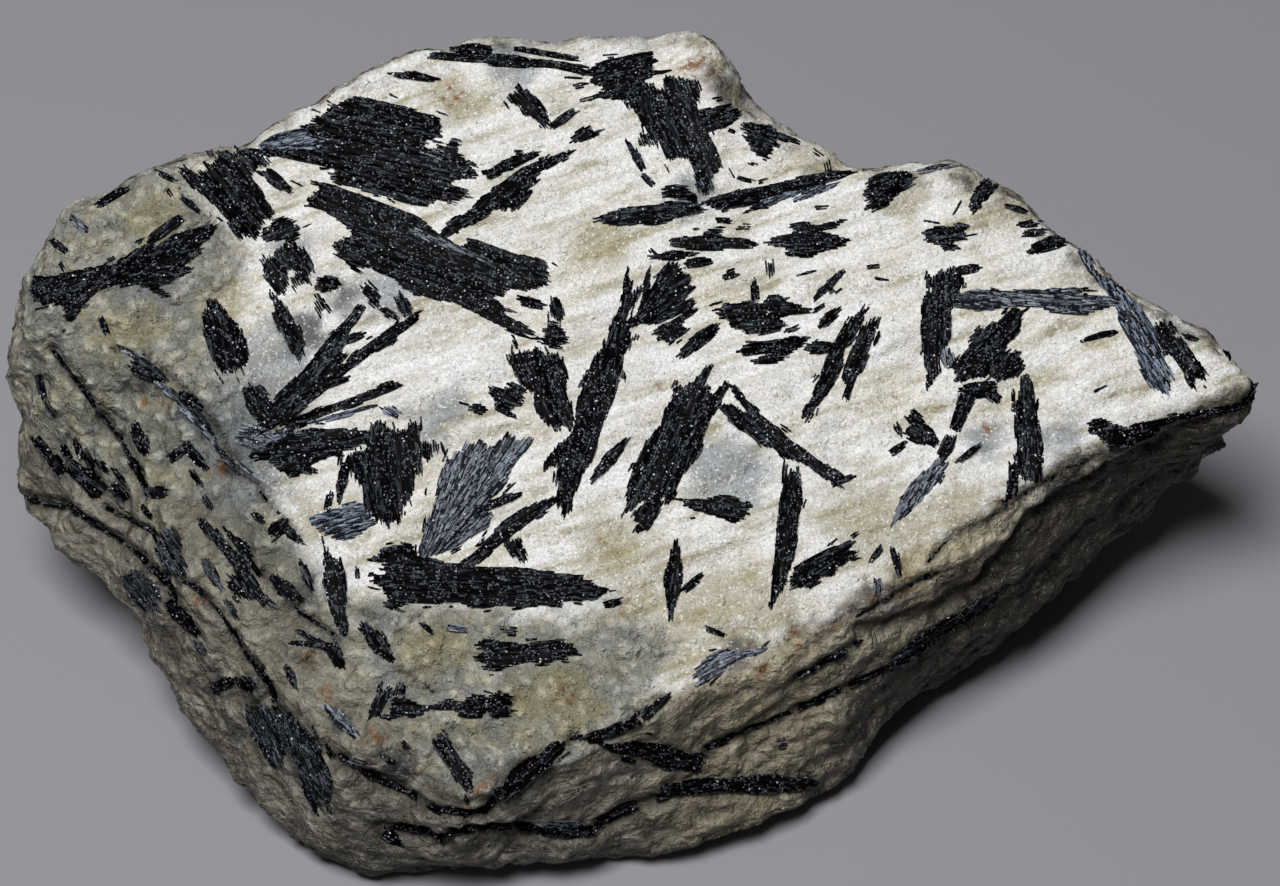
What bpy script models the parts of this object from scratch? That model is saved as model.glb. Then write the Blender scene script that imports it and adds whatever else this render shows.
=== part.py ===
# Hand specimen of glaucophane: black bladed crystals grown in a pale sugary host rock.
#
# The host rock is lofted through four rough outlines, broken up by lumps, ridges and foliation
# ledges, and cut away where a crystal sits. Each crystal, or group grown together, is one solid.

import math
import random

import bmesh
import bpy
from mathutils import Vector, noise
from mathutils.bvhtree import BVHTree

MM = 0.001

# The broken top face is a plane that climbs away from the front
TOP_HEIGHT = 26.0
TOP_TILT = math.radians(20.0)
TOP_SLOPE = math.tan(TOP_TILT)
TOP_NORMAL = Vector((0.0, -math.sin(TOP_TILT), math.cos(TOP_TILT)))

# One rib down the side of the rock per row, in mm, clockwise from the pointed right end:
# rim (x, y), shoulder (x, y, z), belly (x, y, z), sole (x, y). The rim lies in the top plane.
RIBS = [
    # pointed right end and the dark undercut side that runs forward from it
    ((54.0, 0.0), (54.0, 0.0, 24.0), (51.0, 1.0, 15.5), (34.0, 4.0)),
    ((51.5, -2.0), (51.5, -1.5, 23.0), (51.0, 1.0, 12.5), (35.0, 1.0)),
    ((45.5, -3.5), (45.5, -2.5, 22.0), (47.5, -1.0, 10.5), (34.0, -1.0)),
    ((40.5, -5.5), (41.5, -5.0, 20.5), (44.0, -2.5, 9.5), (33.0, -3.5)),
    ((34.5, -8.0), (36.5, -7.5, 18.5), (39.5, -7.0, 8.0), (31.0, -5.5)),
    ((29.5, -12.0), (31.5, -11.5, 17.0), (35.5, -11.5, 7.0), (28.0, -9.0)),
    ((22.0, -17.5), (24.5, -17.5, 15.5), (28.0, -16.5, 5.0), (24.0, -13.5)),
    ((14.5, -22.0), (17.0, -22.5, 13.5), (21.0, -22.5, 4.0), (18.0, -19.0)),
    ((8.5, -24.5), (10.5, -25.5, 11.0), (16.0, -27.0, 3.0), (13.5, -23.5)),
    ((2.5, -28.0), (5.0, -29.0, 9.0), (11.5, -30.5, 2.5), (9.0, -26.5)),
    ((-3.5, -31.0), (-2.0, -32.0, 7.5), (4.5, -33.0, 2.0), (3.0, -29.0)),
    ((-9.0, -33.0), (-8.0, -34.0, 7.0), (-3.5, -34.0, 2.0), (-4.0, -30.0)),
    # front corner
    ((-14.5, -36.0), (-15.0, -36.5, 7.5), (-12.0, -35.5, 2.0), (-11.0, -31.0)),
    # long front left side, under a sloping shoulder
    ((-16.5, -30.5), (-18.0, -35.0, 11.0), (-21.5, -36.0, 2.0), (-19.0, -31.0)),
    ((-20.0, -24.0), (-25.0, -31.5, 13.5), (-27.0, -34.0, 2.5), (-24.5, -29.5)),
    ((-26.5, -17.0), (-32.5, -23.5, 15.5), (-33.0, -29.5, 3.5), (-29.5, -25.0)),
    ((-30.5, -12.5), (-37.5, -17.5, 17.5), (-38.0, -23.5, 5.0), (-33.5, -19.5)),
    ((-34.0, -7.5), (-41.0, -14.5, 18.5), (-42.0, -17.5, 8.0), (-36.0, -14.0)),
    ((-37.5, -3.0), (-42.5, -7.5, 20.5), (-47.5, -9.5, 10.0), (-38.5, -8.0)),
    ((-41.5, 1.0), (-47.0, -1.5, 22.5), (-53.0, -5.0, 12.0), (-41.0, -3.5)),
    # blunt left end
    ((-46.0, 4.5), (-51.0, 3.0, 24.5), (-55.5, -0.5, 15.0), (-42.0, 0.0)),
    ((-50.0, 7.0), (-53.0, 6.5, 26.5), (-56.0, 6.0, 18.0), (-42.5, 4.5)),
    ((-51.0, 11.0), (-53.5, 11.5, 27.5), (-55.0, 11.0, 18.0), (-43.0, 9.0)),
    ((-50.5, 15.0), (-52.0, 16.5, 26.5), (-52.5, 18.0, 17.0), (-42.0, 15.0)),
    # back, hidden behind the rim
    ((-46.5, 15.5), (-48.0, 19.0, 26.0), (-47.5, 22.0, 15.0), (-39.0, 19.0)),
    ((-43.0, 18.0), (-43.5, 22.0, 27.0), (-42.0, 25.5, 14.0), (-35.0, 22.0)),
    ((-34.0, 21.0), (-35.0, 24.5, 28.0), (-34.5, 28.5, 14.0), (-29.0, 24.0)),
    ((-26.5, 27.0), (-27.5, 30.0, 30.0), (-27.0, 32.0, 14.0), (-22.5, 26.5)),
    ((-21.5, 30.0), (-21.5, 32.5, 31.0), (-20.5, 34.0, 13.0), (-16.0, 28.0)),
    ((-13.5, 31.0), (-13.0, 33.0, 31.0), (-12.0, 35.0, 12.0), (-9.0, 29.0)),
    ((-4.0, 30.5), (-3.5, 33.0, 30.5), (-3.0, 35.0, 11.0), (-1.0, 29.5)),
    ((5.5, 32.0), (6.5, 33.5, 31.0), (6.0, 34.0, 11.0), (6.5, 28.0)),
    ((8.5, 26.0), (10.5, 28.5, 29.0), (12.5, 31.0, 11.5), (12.0, 25.5)),
    ((12.0, 23.0), (14.5, 25.0, 28.0), (17.5, 28.0, 12.0), (16.5, 22.5)),
    # notch between the two back corners
    ((18.0, 18.5), (20.0, 21.0, 27.5), (23.5, 24.5, 12.0), (21.0, 19.5)),
    ((27.5, 19.5), (28.5, 21.5, 28.0), (29.5, 22.0, 12.5), (25.5, 17.0)),
    ((33.5, 15.5), (34.5, 17.5, 26.5), (36.0, 18.5, 13.0), (29.0, 14.0)),
    ((41.5, 9.0), (42.5, 10.5, 25.0), (43.0, 12.0, 14.0), (32.0, 10.0)),
    ((49.0, 4.0), (50.0, 5.0, 24.5), (48.5, 6.5, 15.0), (34.0, 7.0)),
]

# Relief of the broken rock, in mm
LOFT_VOXEL = 1.4
ROCK_TRIANGLES = 3300
LUMP_SIZE = 13.0
LUMP_HEIGHT = 0.9
BUMP_SIZE = 4.2
BUMP_HEIGHT = 0.42
LEDGE_PITCH = 4.6
LEDGE_DEPTH = 1.5
LEDGE_SWELL = 0.8
LEDGE_WANDER = 2.4
RIDGE_PITCH = 5.5
RIDGE_HEIGHT = 0.28
RIDGE_RISE = math.radians(22.0)
LOBE_STEP = 1.1
LOBE_EDGE = (Vector((-50.0, 5.5)), Vector((-37.0, 12.5)))
LOBE_RIGHT_END = -34.0
SOLE_BAND = 0.7
SOLE_RELIEF = 0.25

# Crystal bodies, in mm
PROUD = 0.4
SEAT_DEPTH = 2.0
SEAT_GAP = 0.3
CUTTER_HEIGHT = 3.0
STATION_STEP = 4.6
EDGE_RAGGEDNESS = 0.14
END_RAGGEDNESS = 0.4
SEED = 7

# Crystals on the top face: start (x, y), end (x, y), width at the start, middle and end.
# Bodies that grew together are strokes of one crystal.
TOP_CRYSTALS = {
    "glaucophane_fan_upper_left": [((-33.0, 20.2), (-16.0, 18.8), (1.4, 6.6, 8.0))],
    "glaucophane_lath_great": [((-28.0, 14.2), (-8.5, 7.6), (4.2, 5.0, 4.2))],
    "glaucophane_cluster_left": [((-37.2, 18.2), (-31.0, 9.2), (5.4, 5.0, 3.4))],
    "glaucophane_fishtail_left": [
        ((-51.0, 6.7), (-46.0, 8.2), (3.8, 2.6, 1.8)),
        ((-46.6, 8.0), (-39.2, 10.8), (1.8, 2.8, 3.6)),
    ],
    "glaucophane_oval_left": [((-37.5, 6.0), (-34.5, 0.5), (1.8, 3.4, 2.2))],
    "glaucophane_petal_left": [((-31.5, 6.3), (-29.6, 1.9), (0.8, 1.8, 1.4))],
    "glaucophane_fan_left": [
        ((-32.2, -5.2), (-24.2, 5.6), (2.6, 2.2, 1.2)),
        ((-32.2, -5.8), (-19.4, 5.0), (2.6, 2.0, 1.2)),
        ((-31.8, -6.2), (-21.2, -1.4), (2.2, 1.4, 0.8)),
    ],
    "glaucophane_lath_rim": [((-12.0, 25.0), (-8.5, 22.4), (1.2, 1.6, 1.2))],
    "glaucophane_spray_upper": [((-15.8, 13.8), (-5.5, 20.0), (0.9, 2.0, 1.0))],
    "glaucophane_block_middle": [((-10.6, 1.8), (-7.9, -4.6), (3.0, 3.4, 2.8))],
    "glaucophane_lump_middle": [((-13.6, -1.2), (-12.4, -2.8), (1.6, 1.8, 1.6))],
    "glaucophane_blade_long": [((-1.0, 8.4), (-5.6, -11.2), (0.9, 3.0, 1.4))],
    "glaucophane_lump_upper": [((-7.6, 6.2), (-6.6, 3.2), (1.6, 1.8, 1.6))],
    "glaucophane_patch_top": [
        ((-4.4, 27.0), (4.0, 24.8), (2.6, 3.8, 4.0)),
        ((2.8, 26.4), (6.2, 18.0), (4.6, 5.4, 2.8)),
    ],
    "glaucophane_lump_top": [((9.5, 22.0), (12.6, 20.2), (1.8, 2.2, 1.2))],
    "glaucophane_spray_right": [((7.0, 15.0), (19.0, 17.6), (1.6, 1.8, 0.9))],
    "glaucophane_lens_upper": [((-3.3, 14.0), (4.6, 14.6), (0.8, 1.7, 1.2))],
    "glaucophane_block_rim": [((20.2, 14.8), (24.2, 17.2), (1.8, 2.6, 2.0))],
    "glaucophane_lens_right": [((24.6, 12.0), (28.4, 12.9), (0.9, 1.7, 1.0))],
    "glaucophane_blades_upper": [((3.2, 11.8), (10.0, 11.5), (0.9, 1.7, 1.2))],
    "glaucophane_blades_right": [((11.8, 11.4), (18.4, 12.4), (0.9, 2.1, 1.1))],
    "glaucophane_star_middle": [((0.8, 5.0), (3.6, 8.8), (1.4, 2.8, 3.8))],
    "glaucophane_patch_right": [((7.2, 5.0), (14.0, 6.0), (2.0, 3.1, 1.6))],
    "glaucophane_leaf_right": [((8.6, 2.0), (14.4, 2.6), (0.9, 1.5, 0.9))],
    "glaucophane_fan_thin": [((14.2, -3.4), (19.0, 4.4), (0.8, 1.8, 2.6))],
    "glaucophane_post_right": [((26.0, 8.4), (25.4, 0.8), (2.6, 3.1, 1.8))],
    "glaucophane_fan_right": [
        ((39.6, 8.2), (46.2, -0.2), (1.0, 3.2, 5.0)),
        ((28.6, 6.5), (41.6, 6.2), (1.2, 1.9, 1.4)),
    ],
    "glaucophane_elbow_right": [
        ((28.4, -0.4), (33.0, 3.6), (2.2, 3.2, 2.8)),
        ((32.4, 2.8), (33.2, -8.2), (2.0, 2.4, 1.8)),
    ],
    "glaucophane_blade_low_right": [((22.4, -12.6), (26.0, -8.2), (0.7, 1.5, 1.3))],
    "glaucophane_block_tip": [((39.0, -3.9), (43.2, -4.2), (0.9, 1.4, 1.0))],
    "glaucophane_fan_middle": [((-20.6, -5.4), (-21.2, -12.2), (6.0, 5.2, 3.0))],
    "glaucophane_fan_grey": [((-17.6, -14.2), (-12.2, -6.8), (1.8, 3.6, 4.6))],
    "glaucophane_sheaf_blue": [((-27.8, -12.0), (-23.8, -12.9), (1.6, 2.4, 1.8))],
    "glaucophane_splinter_low": [((-12.0, -13.8), (-7.6, -10.6), (1.0, 1.4, 0.9))],
    "glaucophane_lath_black": [((-21.4, -17.4), (-3.4, -18.1), (4.2, 3.2, 1.0))],
    "glaucophane_lens_low": [((-13.8, -23.5), (-5.0, -23.4), (1.2, 2.4, 1.0))],
    "glaucophane_curl_low": [((-17.6, -28.2), (-10.6, -27.4), (1.0, 1.5, 1.9))],
    "glaucophane_lath_centre": [((0.4, -12.2), (6.4, -1.4), (3.6, 4.6, 3.8))],
    "glaucophane_thorn_centre": [((8.6, -2.6), (16.8, -8.9), (1.3, 1.4, 0.7))],
    "glaucophane_needle_right": [((13.1, -8.9), (11.2, -18.8), (1.6, 2.0, 0.7))],
    "glaucophane_lens_centre": [((4.6, -11.5), (9.5, -11.6), (0.8, 2.2, 0.8))],
    "glaucophane_lens_small": [((3.0, -14.2), (2.6, -20.4), (0.7, 1.8, 0.7))],
    "glaucophane_lath_low": [((13.8, -17.4), (17.4, -14.6), (1.6, 2.2, 1.6))],
    "glaucophane_blade_left": [((-27.0, -14.9), (-25.3, -21.6), (0.8, 2.0, 1.2))],
}

# Crystals on the sides: start (x, y, z), end (x, y, z), width at the start, middle and end
SIDE_CRYSTALS = {
    "glaucophane_shoulder_left": [((-35.5, -12.5, 20.0), (-32.0, -18.5, 18.5), (2.2, 3.8, 2.4))],
    "glaucophane_shoulder_far": [((-41.5, -11.0, 18.5), (-39.0, -15.5, 18.0), (1.6, 2.4, 1.6))],
    "glaucophane_wall_left": [((-32.0, -24.0, 11.0), (-27.5, -33.0, 7.0), (2.4, 4.6, 3.0))],
    "glaucophane_wall_far": [((-45.5, -9.5, 14.0), (-42.0, -14.5, 13.0), (1.6, 2.8, 1.8))],
    "glaucophane_block_front": [((-17.0, -30.5, 15.0), (-14.5, -34.0, 13.5), (1.6, 2.4, 1.8))],
    "glaucophane_blade_front": [((-4.0, -31.0, 14.0), (5.0, -29.5, 9.0), (1.2, 2.0, 1.2))],
    "glaucophane_patch_front": [((-10.5, -33.5, 13.5), (-6.5, -31.5, 14.0), (1.2, 1.8, 1.2))],
    "glaucophane_lens_edge": [((5.0, -25.0, 17.0), (10.5, -23.5, 17.0), (1.0, 1.6, 0.8))],
    "glaucophane_wall_right": [((22.0, -20.0, 12.0), (31.0, -14.5, 12.5), (1.0, 2.4, 1.2))],
    "glaucophane_back_fan": [((-10.0, 35.0, 20.0), (2.0, 34.5, 14.0), (1.2, 3.4, 4.6))],
    "glaucophane_back_lath": [((-35.5, 27.0, 22.0), (-26.0, 31.5, 18.0), (2.2, 3.2, 2.0))],
    "glaucophane_back_left": [((-46.0, 22.0, 22.0), (-40.5, 25.5, 17.0), (1.4, 2.8, 1.8))],
    "glaucophane_back_right": [((31.0, 21.0, 22.0), (40.0, 15.0, 18.0), (1.0, 2.6, 1.6))],
}

PALE_ROCK = ("sugary_albite_rock", (0.72, 0.67, 0.56), 0.75)
BLACK_CRYSTAL = ("black_glaucophane", (0.018, 0.020, 0.026), 0.45)


def clear_scene():
    for item in list(bpy.data.objects):
        bpy.data.objects.remove(item, do_unlink=True)


def make_collection(name, hidden=False):
    collection = bpy.data.collections.new(name)
    bpy.context.scene.collection.children.link(collection)
    collection.hide_render = hidden
    return collection


def make_material(name, colour, roughness):
    material = bpy.data.materials.new(name)
    material.use_nodes = True
    shader = material.node_tree.nodes["Principled BSDF"]
    shader.inputs["Base Color"].default_value = (*colour, 1.0)
    shader.inputs["Roughness"].default_value = roughness
    shader.inputs["Metallic"].default_value = 0.0
    return material


def top_height(y):
    return TOP_HEIGHT + y * TOP_SLOPE


def on_top(place):
    return Vector((*place, top_height(place[1])))


def clamp(share):
    return max(0.0, min(1.0, share))


def object_from_bmesh(shape, name, collection, material=None):
    mesh = bpy.data.meshes.new(name)
    shape.to_mesh(mesh)
    shape.free()
    item = bpy.data.objects.new(name, mesh)
    collection.objects.link(item)
    if material:
        mesh.materials.append(material)
    return item


def bake_modifiers(item):
    """Replaces the object's mesh with its evaluated mesh and drops the modifiers."""
    graph = bpy.context.evaluated_depsgraph_get()
    baked = bpy.data.meshes.new_from_object(item.evaluated_get(graph))
    item.modifiers.clear()
    item.data = baked


def loft_rock(collection, material):
    """One closed skin through the rim, shoulder, belly and sole outlines."""
    rings = [
        [on_top(rim) for rim, _, _, _ in RIBS],
        [Vector(shoulder) for _, shoulder, _, _ in RIBS],
        [Vector(belly) for _, _, belly, _ in RIBS],
        [Vector((*sole, 0.0)) for _, _, _, sole in RIBS],
    ]
    shape = bmesh.new()
    loops = [[shape.verts.new(point) for point in ring] for ring in rings]
    count = len(RIBS)
    for upper, lower in zip(loops, loops[1:]):
        for i in range(count):
            j = (i + 1) % count
            shape.faces.new((upper[i], upper[j], lower[j], lower[i]))
    shape.faces.new(reversed(loops[0]))
    shape.faces.new(loops[-1])
    bmesh.ops.recalc_face_normals(shape, faces=shape.faces)
    rock = object_from_bmesh(shape, "host_rock", collection, material)
    remesh = rock.modifiers.new("even_skin", "REMESH")
    remesh.mode = "VOXEL"
    remesh.voxel_size = LOFT_VOXEL
    bake_modifiers(rock)
    return rock


def ledge_profile(height):
    """0 to 1 across one foliation layer: a slow swell outwards and a sharp step back."""
    share = (height / LEDGE_PITCH) % 1.0
    return share / LEDGE_SWELL if share < LEDGE_SWELL else (1.0 - share) / (1.0 - LEDGE_SWELL)


def ledge_relief(point, steepness):
    """The rock splits along layers parallel to its top face, which step the steep sides."""
    wander = noise.noise(point / 16.0) * LEDGE_WANDER
    return (ledge_profile(point.dot(TOP_NORMAL) + wander) - 0.5) * LEDGE_DEPTH * steepness


def ridge_relief(point):
    """Low wavy ridges that cross the top face."""
    sway = noise.noise(point / 11.0 + Vector((3, 8, 1))) * RIDGE_PITCH / 2
    across = math.cos(RIDGE_RISE) * point.y - math.sin(RIDGE_RISE) * point.x
    return math.sin((across + sway) * math.tau / RIDGE_PITCH) * RIDGE_HEIGHT


def lobe_relief(point):
    """The upper left corner of the top face stands one step higher."""
    start, end = LOBE_EDGE
    along = (end - start).normalized()
    offset = point.xy - start
    behind = along.x * offset.y - along.y * offset.x
    share = clamp(behind / 1.2) * clamp((LOBE_RIGHT_END - point.x) / 5.0)
    return share * LOBE_STEP


def relief(point, normal):
    """How far the broken surface stands out at a point, in mm."""
    lumps = noise.fractal(point / LUMP_SIZE, 0.9, 2.1, 3) * LUMP_HEIGHT
    bumps = noise.fractal(point / BUMP_SIZE + Vector((9, 4, 2)), 0.8, 2.2, 2) * BUMP_HEIGHT
    facing_up = max(0.0, normal.dot(TOP_NORMAL))
    steepness = 1.0 - min(1.0, facing_up / 0.75)
    top_relief = (ridge_relief(point) + lobe_relief(point)) * facing_up
    return lumps + bumps + ledge_relief(point, steepness) + top_relief


def flatten_sole(mesh, band):
    for vertex in mesh.vertices:
        if vertex.co.z < band:
            vertex.co.z = 0.0


def break_surface(rock):
    mesh = rock.data
    moves = [relief(vertex.co, vertex.normal) * vertex.normal for vertex in mesh.vertices]
    for vertex, move in zip(mesh.vertices, moves):
        vertex.co += move * (SOLE_RELIEF if vertex.co.z < SOLE_BAND else 1.0)
    flatten_sole(mesh, SOLE_BAND)
    mesh.update()
    mesh.calc_loop_triangles()
    thin = rock.modifiers.new("fewer_faces", "DECIMATE")
    thin.ratio = ROCK_TRIANGLES / len(mesh.loop_triangles)
    bake_modifiers(rock)
    flatten_sole(rock.data, SOLE_BAND / 2)


def surface_of(item):
    shape = bmesh.new()
    shape.from_mesh(item.data)
    tree = BVHTree.FromBMesh(shape)
    shape.free()
    return tree


def width_at(widths, share):
    first, middle, last = widths
    if share < 0.5:
        return first + (middle - first) * 2 * share
    return middle + (last - middle) * (2 * share - 1)


def stroke_sections(surface, start, end, widths, seed):
    """Points across a lath where it meets the rock, section by section, with its facing and side."""
    dice = random.Random(seed)
    length = (end - start).length
    along = (end - start) / length
    facing = Vector()
    for share in (0.1, 0.5, 0.9):
        facing += surface.find_nearest(start.lerp(end, share))[1]
    facing = (facing - along * facing.dot(along)).normalized()
    side = facing.cross(along)
    count = max(3, round(length / STATION_STEP) + 1)
    sections = []
    for i in range(count):
        share = i / (count - 1)
        width = width_at(widths, share) * (1.0 + dice.uniform(-EDGE_RAGGEDNESS, EDGE_RAGGEDNESS))
        row = []
        for across in (-0.5, 0.0, 0.5):
            ragged_end = across and i in (0, count - 1)
            lead = dice.uniform(-END_RAGGEDNESS, END_RAGGEDNESS) if ragged_end else 0.0
            place = start.lerp(end, share) + side * across * width + along * lead
            row.append(surface.find_nearest(place)[0])
        sections.append(row)
    return sections, along, side, facing


def lath_solid(sections, along, side, facing, grow, rise):
    """Closes the sections into a low bar, grown sideways and at its ends by grow."""
    shape = bmesh.new()
    loops = []
    sunk = facing * (SEAT_DEPTH + grow)
    for i, row in enumerate(sections):
        end_shift = along * grow * ((i == len(sections) - 1) - (i == 0))
        left, middle, right = (point + end_shift for point in row)
        left = left - side * grow
        right = right + side * grow
        ring = [point + facing * rise for point in (left, middle, right)]
        ring += [right - sunk, left - sunk]
        loops.append([shape.verts.new(point) for point in ring])
    for one, two in zip(loops, loops[1:]):
        for k in range(5):
            m = (k + 1) % 5
            shape.faces.new((one[k], one[m], two[m], two[k]))
    for ring in (loops[0], loops[-1]):
        for k in (2, 3, 4):
            shape.faces.new((ring[1], ring[k], ring[(k + 1) % 5]))
    bmesh.ops.triangulate(shape, faces=shape.faces, quad_method="FIXED")
    bmesh.ops.recalc_face_normals(shape, faces=shape.faces)
    return shape


def union_into(target, others):
    for other in others:
        join = target.modifiers.new("grown_together", "BOOLEAN")
        join.operation = "UNION"
        join.solver = "EXACT"
        join.object = other
        bake_modifiers(target)
        bpy.data.objects.remove(other, do_unlink=True)


def make_crystal(name, strokes, surface, home, material, seats):
    """The crystal body, and for each of its strokes a slightly larger cutter for the seat."""
    bodies = []
    for number, (start, end, widths) in enumerate(strokes):
        seed = SEED + len(home.objects) + number
        course = stroke_sections(surface, start, end, widths, seed)
        lath = lath_solid(*course, 0.0, PROUD)
        bodies.append(object_from_bmesh(lath, f"{name}_{number}", home, material))
        room = lath_solid(*course, SEAT_GAP, CUTTER_HEIGHT)
        cutter = object_from_bmesh(room, f"seat_{name}_{number}", seats)
        cutter.hide_render = True
        cutter.display_type = "WIRE"
    union_into(bodies[0], bodies[1:])
    bodies[0].name = name
    return bodies[0]


def cut_seats(rock, cutter_collection):
    cut = rock.modifiers.new("crystal_seats", "BOOLEAN")
    cut.operation = "DIFFERENCE"
    cut.solver = "EXACT"
    cut.operand_type = "COLLECTION"
    cut.collection = cutter_collection
    cut.use_self = True
    bake_modifiers(rock)


def place_specimen(items):
    """Sets the origin under the middle of the specimen and scales it from mm to metres."""
    points = [vertex.co for item in items for vertex in item.data.vertices]
    low = Vector(map(min, zip(*points)))
    high = Vector(map(max, zip(*points)))
    middle = (low + high) / 2
    middle.z = low.z
    print("size in mm", [round(side, 1) for side in high - low])
    print("middle was at", [round(side, 2) for side in middle])
    for item in items:
        for vertex in item.data.vertices:
            vertex.co = (vertex.co - middle) * MM
        item.data.update()


def main():
    clear_scene()
    specimen = make_collection("glaucophane_specimen")
    seats = make_collection("seat_cutters", hidden=True)
    pale = make_material(*PALE_ROCK)
    black = make_material(*BLACK_CRYSTAL)
    rock = loft_rock(specimen, pale)
    break_surface(rock)
    surface = surface_of(rock)
    crystals = []
    for name, strokes in TOP_CRYSTALS.items():
        lifted = [(on_top(start), on_top(end), widths) for start, end, widths in strokes]
        crystals.append(make_crystal(name, lifted, surface, specimen, black, seats))
    for name, strokes in SIDE_CRYSTALS.items():
        placed = [(Vector(start), Vector(end), widths) for start, end, widths in strokes]
        crystals.append(make_crystal(name, placed, surface, specimen, black, seats))
    cut_seats(rock, seats)
    for cutter in list(seats.objects):
        bpy.data.objects.remove(cutter, do_unlink=True)
    place_specimen([rock, *crystals])


main()
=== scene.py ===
import math
import random

import bmesh
import bpy
import numpy as np
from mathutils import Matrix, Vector, noise
from mathutils.bvhtree import BVHTree
from mathutils.kdtree import KDTree


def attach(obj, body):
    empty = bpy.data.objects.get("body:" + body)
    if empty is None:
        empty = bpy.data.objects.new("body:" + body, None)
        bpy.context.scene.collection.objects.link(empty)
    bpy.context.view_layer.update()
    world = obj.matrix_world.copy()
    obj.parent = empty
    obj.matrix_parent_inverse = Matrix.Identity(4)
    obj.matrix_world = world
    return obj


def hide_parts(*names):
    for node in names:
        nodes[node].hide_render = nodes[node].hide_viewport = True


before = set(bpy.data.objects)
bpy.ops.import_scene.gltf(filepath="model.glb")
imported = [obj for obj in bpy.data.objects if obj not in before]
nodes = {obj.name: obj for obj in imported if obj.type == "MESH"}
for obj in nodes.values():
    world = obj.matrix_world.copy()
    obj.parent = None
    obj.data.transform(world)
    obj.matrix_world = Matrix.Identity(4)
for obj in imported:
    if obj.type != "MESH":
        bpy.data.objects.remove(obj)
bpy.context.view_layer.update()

mm = 0.001
topTilt = math.radians(20.0)      # the broken top face climbs away from the front
topNormal = Vector((0.0, -math.sin(topTilt), math.cos(topTilt)))


def addObject(name, data):
    # a new object in the scene, at the origin
    item = bpy.data.objects.new(name, data)
    bpy.context.scene.collection.objects.link(item)
    return item


# Camera at the photograph's angle. Its rays also place what the photograph shows on the rock.
cameraSetup = {
    "lens": 110.0,                # mm
    "sensor": 36.0,
    "elevation": 50.0,            # degrees above the horizon
    "distance": 345.0,            # mm from the aim point
    "aim": (1.19, 0.53, 17.0),    # mm
    "imageWidth": 1280,
    "imageHeight": 886,
}


def cameraAxes():
    lift = math.radians(cameraSetup["elevation"])
    forward = Vector((0.0, math.cos(lift), -math.sin(lift)))
    upward = Vector((0.0, math.sin(lift), math.cos(lift)))
    eye = Vector(cameraSetup["aim"]) - forward * cameraSetup["distance"]
    return eye, forward, upward


focalPixels = cameraSetup["imageWidth"] * cameraSetup["lens"] / cameraSetup["sensor"]
pixelSize = cameraSetup["distance"] / focalPixels     # mm across one pixel at the aim point


def addCamera():
    eye, forward, _ = cameraAxes()
    lens = bpy.data.cameras.new("photoCamera")
    lens.lens = cameraSetup["lens"]
    lens.sensor_width = cameraSetup["sensor"]
    lens.clip_start = 0.01
    holder = addObject("photoCamera", lens)
    holder.location = eye * mm
    holder.rotation_euler = forward.to_track_quat("-Z", "Y").to_euler()
    bpy.context.scene.camera = holder


def rayThrough(x, y):
    # start and direction, in mm, of the line of sight through a pixel
    eye, forward, upward = cameraAxes()
    right = (x - cameraSetup["imageWidth"] / 2) / focalPixels
    up = (cameraSetup["imageHeight"] / 2 - y) / focalPixels
    return eye, (forward + Vector((right, 0.0, 0.0)) + upward * up).normalized()


addCamera()
print("camera placed")


# Small helpers for meshes, nodes and colours

def linearColour(hexCode):
    # sRGB hex to the linear colour that a shader socket takes
    parts = [int(hexCode[i:i + 2], 16) / 255 for i in (1, 3, 5)]
    return (*[p / 12.92 if p <= 0.04045 else ((p + 0.055) / 1.055) ** 2.4 for p in parts], 1.0)


def addNode(tree, kind, inputs=None, **settings):
    # one node with its settings; an input is a value or the socket that feeds it
    node = tree.nodes.new(kind)
    for name, value in settings.items():
        setattr(node, name, value)
    for key, value in (inputs or {}).items():
        if isinstance(value, bpy.types.NodeSocket):
            tree.links.new(value, node.inputs[key])
        else:
            node.inputs[key].default_value = value
    return node


def maths(tree, operation, *values):
    return addNode(tree, "ShaderNodeMath", dict(enumerate(values)), operation=operation).outputs[0]


def rescaled(tree, value, low, high, newLow=0.0, newHigh=1.0):
    # a value carried from one range to another and held inside it
    return addNode(tree, "ShaderNodeMapRange",
                   {0: value, 1: low, 2: high, 3: newLow, 4: newHigh}).outputs[0]


def mixed(tree, share, base, tint, blend="MIX"):
    return addNode(tree, "ShaderNodeMix", {0: share, 6: base, 7: tint},
                   data_type="RGBA", blend_type=blend).outputs[2]


def ramp(tree, value, *stops):
    # a colour ramp from its positions and sRGB colours
    node = addNode(tree, "ShaderNodeValToRGB", {"Fac": value})
    elements = node.color_ramp.elements
    elements[0].position, elements[1].position = stops[0][0], stops[-1][0]
    elements[0].color, elements[1].color = linearColour(stops[0][1]), linearColour(stops[-1][1])
    for position, colour in stops[1:-1]:
        elements.new(position).color = linearColour(colour)
    return node.outputs[0]


def noiseOf(tree, place, size, detail, roughness=0.5):
    # noise with patches about size mm across
    return addNode(tree, "ShaderNodeTexNoise", {"Vector": place, "Scale": 1 / (size * mm),
                                                "Detail": detail, "Roughness": roughness})


def drawnOutNoise(tree, place, turn, sides, detail):
    # noise whose patches have three unlike sides, in mm, and are turned
    lying = addNode(tree, "ShaderNodeMapping", {"Vector": place, "Rotation": turn,
                                                "Scale": [side * mm for side in sides]},
                    vector_type="TEXTURE")
    return addNode(tree, "ShaderNodeTexNoise", {"Vector": lying.outputs[0], "Scale": 1.0,
                                                "Detail": detail}).outputs[0]


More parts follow.
